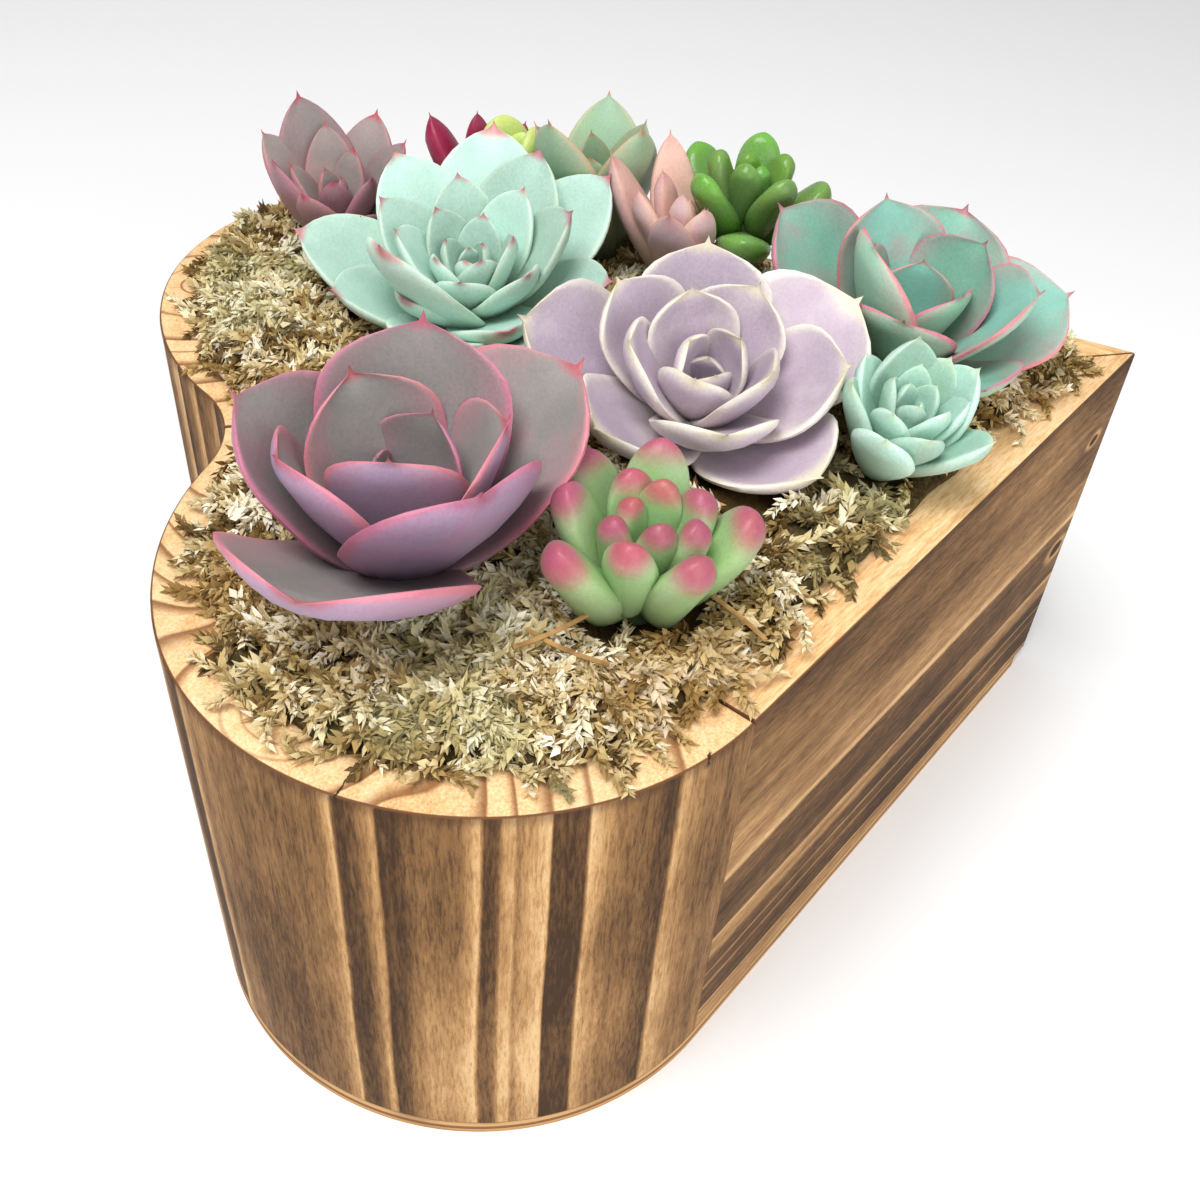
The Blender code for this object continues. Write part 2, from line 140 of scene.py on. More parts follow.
def ramp(tree, value, stops):
    """A colour ramp whose stops are (place, grey value or hex code)."""
    node = add(tree, "ValToRGB", {0: value})
    for index, (place, shade) in enumerate(stops):
        ready = index < 2 and node.color_ramp.elements[index]
        stop = ready or node.color_ramp.elements.new(place)
        stop.position = place
        stop.color = colour(shade) if isinstance(shade, str) else (shade, shade, shade, 1)
    return node.outputs[0]


def span(tree, value, low, high, to_low=0.0, to_high=1.0):
    """to_low where the value is low, to_high where it is high, and eased in between."""
    inputs = {0: value, 1: low, 2: high, 3: to_low, 4: to_high}
    return add(tree, "MapRange", inputs, interpolation_type="SMOOTHSTEP").outputs[0]


def vector(tree, operation, first, second):
    node = add(tree, "VectorMath", {0: first, 1: second}, operation=operation)
    return node.outputs[1 if operation == "DOT_PRODUCT" else 0]


def split(tree, place):
    return add(tree, "SeparateXYZ", {0: place}).outputs


def ripples(tree, place, stretch, detail=3, roughness=0.55, distortion=0.0):
    """Noise in waves per metre, given once or for each axis."""
    each = stretch if isinstance(stretch, tuple) else (stretch,) * 3
    inputs = {"Vector": vector(tree, "MULTIPLY", place, each), "Scale": 1, "Detail": detail}
    inputs.update(Roughness=roughness, Distortion=distortion)
    return add(tree, "TexNoise", inputs).outputs[0]


def object_place(tree):
    return add(tree, "TexCoord").outputs["Object"]


print("Linear value of a mid grey:", round(colour("808080")[0], 3))

# %% [markdown]
# A look that several materials share is built once, as a node group. Every material then
# ends in the same way: a colour, a roughness, and a height that bumps the surface. Wood,
# leaves and moss are all dull, so their specular level stays low.


# %% Helpers for groups and materials
def new_group(name, inputs, outputs):
    """A node group with named sockets, and its input and output nodes."""
    tree = bpy.data.node_groups.new(name, "ShaderNodeTree")
    for kind, sockets in (("INPUT", inputs), ("OUTPUT", outputs)):
        for socket, what in sockets.items():
            tree.interface.new_socket(socket, in_out=kind, socket_type="NodeSocket" + what)
    return tree, tree.nodes.new("NodeGroupInput"), tree.nodes.new("NodeGroupOutput")


def new_material(name):
    made = bpy.data.materials.new(name)
    made.use_nodes = True
    return made, made.node_tree, made.node_tree.nodes["Principled BSDF"]


def finish_shader(tree, shader, base, roughness, height, bump=0.4, depth=0.0004, gloss=0.15):
    made = add(tree, "Bump", {"Strength": bump, "Distance": depth, "Height": height})
    inputs = {"Base Color": base, "Roughness": roughness, "Normal": made.outputs[0]}
    set_inputs(shader, {**inputs, "Specular IOR Level": gloss})


print("Materials that came with the frame:", len(bpy.data.materials))

# %% [markdown]
# ## The timber
#
# The walls are softwood, torched outside after gluing. Fire chars the soft early wood more
# than the hard late wood, so each growth ring shows as a stripe that brightens and then
# stops sharply. The rim was sanded clean afterwards, so it shows the raw wood with the late
# wood darker. One group turns a ring value into both looks by the way the surface faces.


# %% The torched finish
def make_torched_group():
    """Place is the place in the timber, with its third part along the grain."""
    inputs = {"Place": "Vector", "Ring": "Float", "Late": "Float"}
    outputs = {"Colour": "Color", "Roughness": "Float", "Height": "Float"}
    tree, given, result = new_group("torched_timber", inputs, outputs)
    place, ring, late = (given.outputs[n] for n in inputs)
    cloud = ripples(tree, place, (34, 34, 22), detail=4)
    fibre = ripples(tree, place, (330, 330, 9), detail=4, roughness=0.65)
    pores = ripples(tree, place, (420, 420, 60), detail=3, roughness=0.7)
    flecks = ripples(tree, place, (1700, 1700, 230), detail=3, roughness=0.75)
    spared = ring
    for ripple, amount in ((cloud, 0.8), (fibre, 0.55), (pores, 0.4), (flecks, 1.0)):
        change = calc(tree, "MULTIPLY_ADD", ripple, amount, -amount / 2)
        spared = calc(tree, "ADD", spared, change)
    charred = ramp(
        tree, spared,
        [(0, "402c1c"), (0.2, "5f4329"), (0.48, "8b663f"),
         (0.75, "b78c5b"), (1, "dcb684")],
    )
    charred = mix(tree, span(tree, flecks, 0.55, 0.72, 0, 0.4), charred, "33231a")
    grain = calc(tree, "MULTIPLY_ADD", cloud, 0.3, times(tree, fibre, 0.25))
    grain = calc(tree, "MULTIPLY_ADD", flecks, 0.45, grain)
    raw = ramp(
        tree, grain,
        [(0.36, "bf8d59"), (0.44, "d8aa74"), (0.52, "eac491"),
         (0.64, "f7daaf")],
    )
    raw = mix(tree, span(tree, pores, 0.52, 0.75, 0, 0.35), raw, "b78450")
    raw = mix(tree, span(tree, late, 0, 1, 0, 0.85), raw, "77441d")
    facing = add(tree, "NewGeometry").outputs["Normal"]
    up = split(tree, facing)[2]
    height = split(tree, object_place(tree))[2]
    scorched = span(tree, height, RIM - 3.5 * MM, RIM - 0.3 * MM, 0, 0.5)
    charred = mix(tree, scorched, charred, "3d2a1e")
    edge = mix(tree, span(tree, up, 0.25, 0.8), charred, "6b452a")
    shown = mix(tree, span(tree, up, 0.86, 0.98), edge, raw)
    relief = calc(tree, "MULTIPLY_ADD", pores, 0.6, times(tree, fibre, 0.5))
    height = calc(tree, "MULTIPLY_ADD", ring, 0.06, relief)
    roughness = span(tree, spared, 0, 1, 0.7, 0.55)
    set_inputs(result, {"Colour": shown, "Roughness": roughness, "Height": height})
    return tree


torched = make_torched_group()
print("Node groups:", len(bpy.data.node_groups))

# %% [markdown]
# In the lobe blocks the grain stands upright, so a ring's distance from the pith depends on
# X and Y alone, and one pattern runs from the rim down the side. The rings are round near
# the pith and flatter further out. A block's first list says how much of the wood the flame
# spared at a distance in millimetres, which rises slowly and drops at once. Its second list
# gives the dark late wood on the rim, and its third one the cracks.


# %% Timber with upright grain
RAMP_REACH = 100  # the millimetres that a colour ramp covers
LINE_SOFTNESS = 0.25
LATE_REMAINS = 0.04
CRACK_WANDER = 3 * MM


def crack_mask(tree, place, start, end):
    """1 on a thin wandering line on the rim from start to end, in millimetres."""
    run = Vector(end) - Vector(start)
    way, length = run.normalized(), run.length * MM
    offset = vector(tree, "SUBTRACT", place, (start[0] * MM, start[1] * MM, 0))
    along = vector(tree, "DOT_PRODUCT", offset, (way.x, way.y, 0))
    aside = vector(tree, "DOT_PRODUCT", offset, (-way.y, way.x, 0))
    wander = ripples(tree, place, 260)
    aside = calc(tree, "MULTIPLY_ADD", wander, CRACK_WANDER, aside)
    aside = calc(tree, "ABSOLUTE", calc(tree, "SUBTRACT", aside, CRACK_WANDER / 2))
    line = span(tree, aside, 0.08 * MM, 0.28 * MM, 1, 0)
    on_rim = span(tree, split(tree, place)[2], RIM - 3 * MM, RIM - MM)
    begun, ended = span(tree, along, 0, MM), span(tree, along, length, length - MM)
    return times(tree, line, begun, ended, on_rim)


def late_bands(lines):
    """Bands on the rim that darken up to each growth line and then stop, from its place and
    the band's width in millimetres."""
    stops = [(0, 0)]
    for line, width in lines:
        stops += [(line - width, 0), (line, 1), (line + LINE_SOFTNESS, LATE_REMAINS)]
    return stops


def ramp_in_mm(tree, place, stops):
    share = calc(tree, "DIVIDE", place, RAMP_REACH * MM)
    return ramp(tree, share, [(at / RAMP_REACH, value) for at, value in stops])


def make_block_timber(name, pith, rings, lines, cracks=()):
    made, tree, shader = new_material(name)
    place = object_place(tree)
    wobble = ripples(tree, place, (18, 18, 8), detail=2)
    parts = split(tree, place)
    x, y = (calc(tree, "SUBTRACT", parts[i], pith[i] * MM) for i in range(2))
    flatten = span(tree, calc(tree, "ABSOLUTE", y), 12 * MM, 32 * MM, 1, 0.36)
    out = distance(tree, times(tree, x, flatten), y)
    out = calc(tree, "MULTIPLY_ADD", wobble, 2.6 * MM, out)
    out = calc(tree, "SUBTRACT", out, 1.3 * MM)
    inputs = {"Place": place, "Ring": ramp_in_mm(tree, out, rings)}
    inputs["Late"] = ramp_in_mm(tree, out, late_bands(lines))
    both = add(tree, "Group", inputs, node_tree=torched)
    base, roughness, height = (both.outputs[i] for i in range(3))
    for start, end in cracks:
        base = mix(tree, crack_mask(tree, place, start, end), base, "3a2415")
    finish_shader(tree, shader, base, roughness, height, bump=0.5)
    return made


left_block_timber = make_block_timber(
    "left_block_timber", (-83.5, 92),
    [(0, 0.5), (3.4, 0.6), (3.6, 0.15), (8, 0.75), (8.3, 0.15), (11, 0.5), (11.3, 0.25),
     (14, 0.35), (17.3, 0.4), (19.7, 0.9), (20, 0.08), (22.4, 0.2), (25.3, 0.85), (25.6, 0.06),
     (27.6, 0.2), (29.8, 0.92), (30.1, 0.1), (31.6, 0.3), (32.4, 0.75), (34.2, 0.9),
     (34.5, 0.5), (36, 0.72), (39.8, 0.95), (40.1, 0.05), (45.8, 0.1), (46.4, 0.9),
     (49.5, 0.5), (61, 0.15), (62, 0.85), (68, 0.4)],
    [(3.8, 3.4), (8, 0.5), (11.2, 0.5), (20, 2), (25.6, 3), (30.1, 2), (34.5, 1.6),
     (40.1, 3.4), (46.4, 1.6), (62, 3)],
    [((-98.8, 82.7), (-105, 87)), ((-105, 25), (-117, 30))],
)
right_block_timber = make_block_timber(
    "right_block_timber", (61.6, 105.7),
    [(0, 0.4), (4, 0.7), (4.3, 0.15), (8.5, 0.8), (8.8, 0.1), (14.8, 0.85), (15.1, 0.08),
     (20, 0.3), (25.5, 0.9), (25.8, 0.1), (31, 0.4), (36, 1), (36.3, 0.05), (41, 0.4),
     (44, 0.9), (44.3, 0.1), (52, 0.8), (52.3, 0.1), (60, 0.4), (66, 0.95), (66.3, 0.05),
     (76, 0.4), (84, 0.9), (84.3, 0.1), (100, 0.3)],
    [(4.3, 0.6), (8.8, 0.6), (15.1, 1.4), (25.8, 2.4), (31, 1), (36.3, 2.6), (44.3, 3),
     (52.3, 2), (66.3, 3), (84.3, 3)],
)
print("Block timbers:", 2)

# %% [markdown]
# In the side boards the grain runs along the side, so the rings show as streaks at
# different heights that slope a little. A knot is the root of a branch: a dark spot in a
# pale ring, because the fire leaves the dense wood round it lighter.


# %% Timber with the grain along the side
SLOPE = -0.03
BOARD_LEVELS = [
    (0, 0.6), (4, 0.62), (5.4, 0.5), (6, 0.95), (6.6, 0.15), (11, 0.08), (14.4, 0.15),
    (15.2, 0.62), (15.8, 0.12), (19.6, 0.2), (20.4, 0.7), (21, 0.1), (25, 0.15), (27, 0.48),
    (31, 0.55), (33, 0.82), (33.6, 0.22), (40, 0.18), (50, 0.26), (52.6, 0.3), (53.4, 0.85),
    (54.6, 0.95), (56.5, 0.58), (62, 0.5), (65, 0.62), (68, 0.42), (78, 0.32), (85, 0.4),
    (92, 0.34), (100, 0.28),
]
KNOTS = [(9, 82.4, 1.6), (6, 45, 2.4)]  # along from the point, height and radius, in mm


def knot_light(tree, along, height, knot):
    """How much more or less the wood is spared in and around a knot."""
    far, level, radius = (k * MM for k in knot)
    across = times(tree, calc(tree, "SUBTRACT", along, far), 0.6)
    rise = calc(tree, "SUBTRACT", height, level)
    away = distance(tree, across, rise)
    pale = span(tree, away, radius * 2.2, radius * 1.2, 0, 0.45)
    return calc(tree, "SUBTRACT", pale, span(tree, away, radius * 1.1, radius * 0.6, 0, 0.9))


def make_board_timber(name, side, knots=()):
    """side is -1 for the board at -X, and 1 for the one at +X."""
    made, tree, shader = new_material(name)
    place = object_place(tree)
    along = vector(tree, "DOT_PRODUCT", place, (side * ALONG_SIDE.x, ALONG_SIDE.y, 0))
    along = calc(tree, "ADD", along, HEART_LENGTH / 2 * ALONG_SIDE.y)
    out = vector(tree, "DOT_PRODUCT", place, (side * ALONG_SIDE.y, -ALONG_SIDE.x, 0))
    height = split(tree, place)[2]
    laid = add(tree, "CombineXYZ", {0: out, 1: height, 2: along}).outputs[0]
    drift = ripples(tree, laid, (18, 18, 7), detail=2)
    level = calc(tree, "MULTIPLY_ADD", drift, 4 * MM, calc(tree, "SUBTRACT", height, 2 * MM))
    level = calc(tree, "MULTIPLY_ADD", along, SLOPE, level)
    ring = ramp_in_mm(tree, level, BOARD_LEVELS)
    for knot in knots:
        ring = calc(tree, "ADD", ring, knot_light(tree, along, height, knot))
    late = span(tree, ripples(tree, laid, (150, 150, 5), detail=2), 0.52, 0.68, 0, 0.6)
    both = add(tree, "Group", {"Place": laid, "Ring": ring, "Late": late}, node_tree=torched)
    finish_shader(tree, shader, *(both.outputs[i] for i in range(3)), bump=0.5)
    return made


left_board_timber = make_board_timber("left_board_timber", -1, KNOTS)
right_board_timber = make_board_timber("right_board_timber", 1)
print("Board timbers:", 2)

# %% [markdown]
# The planter's outline is drawn once for any inset, as arcs that meet without a corner: the
# lobe's side, its top and the notch. The left half is the right one mirrored. The CAD
# solids have the same outline in coarser steps.


# %% The heart's outline
def arc_points(centre, radius, first, last):
    steps = max(2, round(abs(last - first) / ARC_STEP))
    angles = [between(first, last, i / steps) for i in range(steps + 1)]
    return [centre + radius * Vector((math.cos(a), math.sin(a))) for a in angles]


def lobe_path(inset):
    """The right lobe's edge, moved inwards by inset: from the side board to the notch."""
    inwards = Vector((-math.cos(SIDE_ANGLE), math.sin(SIDE_ANGLE)))
    tangent = Vector((0, -HEART_LENGTH / 2)) + ALONG_SIDE * SIDE_LENGTH
    side_centre = tangent + inwards * LOBE_SIDE_RADIUS
    side_last = LOBE_SIDE_SWEEP - SIDE_ANGLE
    turned = Vector((math.cos(side_last), math.sin(side_last)))
    top_centre = side_centre + turned * (LOBE_SIDE_RADIUS - LOBE_TOP_RADIUS)
    notch_rise = math.sqrt((LOBE_TOP_RADIUS + NOTCH_RADIUS) ** 2 - top_centre.x**2)
    notch_centre = Vector((0, top_centre.y + notch_rise))
    top_last = math.atan2(notch_rise, -top_centre.x)
    side = arc_points(side_centre, LOBE_SIDE_RADIUS - inset, -SIDE_ANGLE, side_last)
    top = arc_points(top_centre, LOBE_TOP_RADIUS - inset, side_last, top_last)
    notch = arc_points(notch_centre, NOTCH_RADIUS + inset, top_last - math.pi, -math.pi / 2)
    return side + top[1:] + notch[1:]


def point_of_heart(inset):
    return Vector((0, -HEART_LENGTH / 2 + inset / math.sin(SIDE_ANGLE)))


def mirrored(points):
    return [Vector((-p.x, p.y)) for p in points]


def heart_outline(inset):
    right = lobe_path(inset)
    return [point_of_heart(inset), *right, *mirrored(right[:-1])[::-1]]


print("Points of the outline:", len(heart_outline(0)))

# %% [markdown]
# The wall pieces are prisms: an outline seen from above, extruded upwards. Each finished
# mesh becomes a piece that rides on the part, stands for one of its solids, and is smooth
# except where two faces meet at a sharp angle.


# %% From an outline to a piece
def prism(outline, low, high):
    bm = bmesh.new()
    floor = bm.faces.new([bm.verts.new((p.x, p.y, low)) for p in outline])
    raised = bmesh.ops.extrude_face_region(bm, geom=[floor])
    top = [g for g in raised["geom"] if isinstance(g, bmesh.types.BMVert)]
    bmesh.ops.translate(bm, verts=top, vec=(0, 0, high - low))
    bmesh.ops.recalc_face_normals(bm, faces=bm.faces)
    return bm


def new_object(name, data):
    made = bpy.data.objects.new(name, data)
    bpy.context.scene.collection.objects.link(made)
    return made


def mesh_of(name, bm):
    mesh = bpy.data.meshes.new(name)
    bm.to_mesh(mesh)
    bm.free()
    return mesh


def add_piece(name, bm, finish, stands_for=(), sharp=35):
    """The bmesh as a piece that rides on the part and replaces CAD nodes."""
    if bm.calc_volume(signed=True) < 0:
        bmesh.ops.reverse_faces(bm, faces=bm.faces)
    mesh = mesh_of(name, bm)
    mesh.shade_smooth()
    mesh.set_sharp_from_angle(angle=math.radians(sharp))
    mesh.materials.append(finish)
    piece = new_object(name, mesh)
    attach(piece, "root")
    if stands_for:
        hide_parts(*stands_for)
    return piece


# %% [markdown]
# The four walls take their timber. A small bevel round each outer edge of the rim catches
# the light, as an edge does that was eased with sandpaper. The pieces nearly touch, because
# the real ones are glued.

# %% The walls
RIM_BEVEL = 0.7 * MM


def add_wall(name, outline, finish):
    bm = prism(outline, WALL_BOTTOM, RIM)
    rim = [e for e in bm.edges if all(v.co.z > RIM - GAP for v in e.verts)]
    bmesh.ops.bevel(
        bm, geom=rim, offset=RIM_BEVEL, offset_type="OFFSET", segments=3, profile=0.5,
        affect="EDGES", material=-1, clamp_overlap=True,
    )
    return add_piece("fine_" + name, bm, finish, [name], sharp=50)


seam = Vector((SEAM / 2, 0))
outer, inner = lobe_path(0), lobe_path(WALL)
outer[-1], inner[-1] = outer[-1] + seam, inner[-1] + seam
block = [*outer, *inner[::-1]]
add_wall("right_lobe_block", block, right_block_timber)
add_wall("left_lobe_block", mirrored(block), left_block_timber)

mitre = Vector((SEAM / 2, SEAM / 2 / math.tan(SIDE_ANGLE)))
board = [
    point_of_heart(0) + mitre,
    lobe_path(0)[0] - ALONG_SIDE * SEAM,
    lobe_path(WALL)[0] - ALONG_SIDE * SEAM,
    point_of_heart(WALL) + mitre,
]
add_wall("right_side_board", board, right_board_timber)
add_wall("left_side_board", mirrored(board), left_board_timber)
print("Walls:", len(block), "points round each block")

# %% [markdown]
# The base board is plywood. Only its edge shows, a thin pale line under the walls, so its
# material needs just the plies and a little scorching.


# %% The base board
def make_plywood():
    made, tree, shader = new_material("plywood_edge")
    place = object_place(tree)
    height = split(tree, place)[2]
    plies = ramp(
        tree, calc(tree, "DIVIDE", height, BASE_THICKNESS),
        [(0, "b98c5c"), (0.32, "c79a68"), (0.35, "7d5636"),
         (0.62, "8f6742"), (0.65, "d0a878"), (1, "caa06e")],
    )
    cloud = ripples(tree, place, (60, 60, 300), detail=4)
    base = mix(tree, span(tree, cloud, 0.45, 0.75, 0, 0.6), plies, "7a5738")
    finish_shader(tree, shader, base, 0.75, cloud)
    return made


base_outline = heart_outline(0)[1:]
cut = point_of_heart(0) + (base_outline[0] - point_of_heart(0)).normalized() * TIP_ROUNDING
blunt = point_of_heart(0) + Vector((0, TIP_ROUNDING * 0.4))
base_outline = [Vector((-cut.x, cut.y)), blunt, cut, *base_outline]
add_piece(
    "fine_base_board", prism(base_outline, 0, BASE_THICKNESS), make_plywood(),
    ["base_board"],
)
print("Base board:", len(base_outline), "points")

# %% [markdown]
# ## The plants
#
# A rosette grows one leaf after another, each turned by the golden angle from the last. The
# CAD source sets each plant's place, tilt and leaf sizes, and lifts or shortens a leaf that
# would meet the wall, the moss or a neighbour. The same rule runs here against the CAD
# nodes, so each fine leaf lands where its solid is.

# %% The plants' sizes
SPOON = {"base": 0.42, "belly": 0.66, "blunt": 2.6, "point": 0.07}
OVAL = {"base": 0.45, "belly": 0.58, "blunt": 2.0, "point": 0.05}
PETAL = {"base": 0.5, "belly": 0.52, "blunt": 1.7, "point": 0.06}
BEAN = {"base": 0.35, "belly": 0.6, "blunt": 2.6, "point": 0.0}

PLANT_FIELDS = (
    "name at seat tilt leaves start turn length grow lean width thick cup bend stalk spread leaf"
).split()
PLANT_ROWS = [
    ("jelly_bean_sedum", (-70, 29), 106, (175, 8), 16, 40, 1, (10, 29),
     0.42, (88, 52), 0.45, 11.0, 0.0, 10, 7, 3.0, BEAN),
    ("purple_echeveria", (-54, 69), 107, (165, 3), 12, 133, -1, (12, 50),
     0.42, (82, 40), 0.84, 5.0, 0.32, 20, 2, 2.2, SPOON),
    ("lilac_echeveria", (-21, 5), 111, (175, 20), 18, 18, -1, (8, 42),
     0.6, (86, 24), 0.82, 5.6, 0.3, 34, 4, 2.2, SPOON),
    ("mint_echeveria", (34, 42), 106, (160, 18), 30, 2, 1, (8, 47),
     0.75, (86, 20), 0.6, 5.6, 0.24, 24, 8, 2.2, OVAL),
    ("red_edged_echeveria", (-2, -48), 108, (190, 12), 14, 163, -1, (10, 45),
     0.5, (84, 30), 0.86, 4.6, 0.28, 24, 3, 2.2, SPOON),
    ("small_mint_echeveria", (-37, -32), 107, (200, 16), 18, 10, 1, (8, 29),
     0.7, (86, 40), 0.56, 5.4, 0.2, 18, 9, 2.2, OVAL),
    ("green_sedum", (45, -26), 117, (190, 6), 12, 0, 1, (10, 25),
     0.6, (88, 34), 0.52, 9.8, 0.0, 12, 8, 2.6, BEAN),
    ("peach_pachyphytum", (40, -10), 111, (180, 8), 16, 70, 1, (9, 34),
     0.7, (88, 50), 0.4, 7.4, 0.08, 14, 8, 2.2, PETAL),
    ("grey_green_echeveria", (63, 6), 107, (180, 0), 8, 150, 1, (18, 42),
     0.6, (82, 50), 0.6, 5.0, 0.2, 14, 4, 2.2, PETAL),
    ("mauve_graptoveria", (76, 70), 105, (165, 10), 16, 30, 1, (10, 37),
     0.7, (84, 36), 0.56, 5.6, 0.2, 18, 7, 2.2, PETAL),
    ("yellow_sedum", (77, 25), 108, (180, 0), 6, 100, 1, (12, 27),
     0.6, (84, 54), 0.6, 8.6, 0.05, 12, 6, 2.2, BEAN),
    ("red_sedum", (88, 31), 108, (180, 0), 6, 10, 1, (12, 28),
     0.6, (84, 58), 0.44, 8.4, 0.05, 12, 6, 2.2, PETAL),
]
PLANTS = [dict(zip(PLANT_FIELDS, row)) for row in PLANT_ROWS]
STEM_RADIUS = 4 * MM
CROWN_RADIUS = 5 * MM
CLEARANCE = 0.45 * MM
LIFT_STEP = 5
STEEPEST = 86
SHORTEN = 0.88
SHORTENINGS = 5
PROBE_SIDES = 5
PROBE_STATIONS = (0, 0.06, 0.4, 0.74, 0.91, 1)
print("Plants:", len(PLANTS))

# %% [markdown]
# Each leaf has an age, from 0 in the middle of the rosette to 1 at its foot. Young leaves
# are short and upright, and old ones long and nearly flat. Small seeded changes keep the
# leaves from being copies, and a leaf gets the same ones here as in the CAD source.

# %% Where each leaf stands
def leaf_sizes(plant, index):
    drawn = random.Random(plant["name"] + str(index))
    age = index / (plant["leaves"] - 1)
    length = between(*plant["length"], age ** plant["grow"]) * MM * drawn.uniform(0.93, 1.05)
    turned = plant["start"] + drawn.uniform(-6, 6)
    return {
        "length": length,
        "width": length * plant["width"] * between(0.85, 1, age),
        "thick": plant["thick"] * between(0.5, 1, age**0.6) * MM,
        "cup": plant["cup"],
        "bend": plant["bend"],
        "leaf": plant["leaf"],
        "lean": between(*plant["lean"], age) + drawn.uniform(-4, 4),
        "azimuth": math.radians(turned) + plant["turn"] * index * GOLDEN_ANGLE,
        "height": plant["stalk"] * (1 - age) * MM,
        "root": plant["spread"] * age * MM,
        "age": age,
    }


def crown_matrix(plant):
    x, y = plant["at"]
    towards, amount = (math.radians(a) for a in plant["tilt"])
    hinge = Vector((-math.sin(towards), math.cos(towards), 0))
    place = Matrix.Translation((x * MM, y * MM, plant["seat"] * MM))
    return place @ Matrix.Rotation(amount, 4, hinge)


def leaf_matrix(plant, sizes, lean):
    return (
        crown_matrix(plant)
        @ Matrix.Rotation(sizes["azimuth"], 4, "Z")
        @ Matrix.Translation((0, sizes["root"], sizes["height"]))
        @ Matrix.Rotation(math.radians(lean), 4, "X")
    )


print("Oldest leaf of the mint echeveria:", round(leaf_sizes(PLANTS[3], 29)["length"], 3))

# %% [markdown]
# A leaf could be modelled by hand, but one formula for all of them is easier to check. It
# turns the way along the leaf and the angle round it into a point of the skin. The fine
# outline differs from the coarse one only near the tip, which it draws out.


# %% The form of a leaf
TIP_WIDTH = 0.16
FINE_TIP_WIDTH = 0.2
SHOULDER = 0.08  # how softly the fine tip joins the leaf
INNER_SHARE = 0.35  # of the flesh, which lies above the leaf's middle


def leaf_outline(shape, u):
    """Half width at u along the leaf, as a share of the widest."""
    v = min(u / (1 - shape["point"]), 1)
    if v < shape["belly"]:
        wide = between(shape["base"], 1, math.sin(math.pi / 2 * v / shape["belly"]))
    else:
        rest = (v - shape["belly"]) / (1 - shape["belly"])
        wide = max(0.0, 1 - rest ** shape["blunt"]) ** 0.62
    point = TIP_WIDTH * max(0.0, 1 - u) / (2 * shape["point"]) if shape["point"] else 0
    return max(wide, min(point, TIP_WIDTH))


def fine_outline(shape, u):
    """The same half width, with its shoulders drawn out smoothly into a longer point."""
    if not shape["point"]:
        return leaf_outline(shape, u)
    wide = leaf_outline({**shape, "point": 0}, min(1, u / (1 - 0.8 * shape["point"])))
    point = min(FINE_TIP_WIDTH, 0.1 * (1 - u) / shape["point"])
    joined = (wide + point + math.hypot(wide - point, SHOULDER)) / 2
    return joined - smooth(0.4, 1, u) * SHOULDER / 2


def leaf_point(sizes, u, around, swell=0.0, full=1.0, outline=leaf_outline):
    """A point of the leaf's skin, with the leaf along +Y and its inner face up."""
    length, thick = sizes["length"], sizes["thick"]
    bend = math.radians(max(sizes["bend"], 0.01))
    outline = outline(sizes["leaf"], u)
    is_pole = u <= 0 or u >= 1
    half = 0 if is_pole else outline * sizes["width"] / 2 + swell
    flesh = 0 if is_pole else min(1, 1.5 * outline) * (1 - 0.4 * u) * thick + 2 * swell
    across, up = math.cos(around), math.sin(around)
    swelling = math.copysign(abs(up) ** full, up)
    part = INNER_SHARE if up > 0 else 1 - INNER_SHARE
    rise = flesh * part * swelling + sizes["cup"] * half * across**2
    turn = bend * (u - 0.5)
    reach = length * (math.sin(turn) + math.sin(bend / 2)) / bend
    lift = length * (math.cos(bend / 2) - math.cos(turn)) / bend
    return Vector((half * across, reach - rise * math.sin(turn), lift + rise * math.cos(turn)))


print("Widest at the belly:", round(leaf_outline(OVAL, 0.55), 2))

# %% [markdown]
# To see whether a leaf fits, its coarse solid is swollen a little and compared with the
# walls, the moss and the earlier plants. The CAD source did the same. Where they meet, the
# leaf is lifted in small steps, and if that doesn't help it is made shorter.


# %% Fitting the leaves
def sphere(bm, sides, rings):
    """A sphere's vertices, each with its share of the way up and its angle."""
    made = bmesh.ops.create_uvsphere(bm, u_segments=sides, v_segments=rings, radius=1)
    return [
        (v, 1 - math.acos(max(-1, min(1, v.co.z))) / math.pi, math.atan2(v.co.y, v.co.x))
        for v in made["verts"]
    ]


def coarse_tree(leaves, swell=0.0):
    """The CAD source's coarse solids of these leaves, a little swollen for a test."""
    bm = bmesh.new()
    rings = len(PROBE_STATIONS) - 1
    for sizes, place in leaves:
        for vert, share, angle in sphere(bm, PROBE_SIDES, rings):
            u = PROBE_STATIONS[round(share * rings)]
            vert.co = place @ leaf_point(sizes, u, angle + math.pi / 2, swell)
    tree = BVHTree.FromBMesh(bm)
    bm.free()
    return tree


def place_leaf(plant, sizes, obstacles):
    """The lean at which the leaf clears every obstacle. Its sizes may shrink first."""
    for _ in range(SHORTENINGS):
        lean = sizes["lean"]
        while lean <= STEEPEST:
            tree = coarse_tree([(sizes, leaf_matrix(plant, sizes, lean))], CLEARANCE)
            if not any(tree.overlap(o) for o in obstacles):
                return lean
            lean += LIFT_STEP
        for size in ("length", "width"):
            sizes[size] *= SHORTEN
    return None


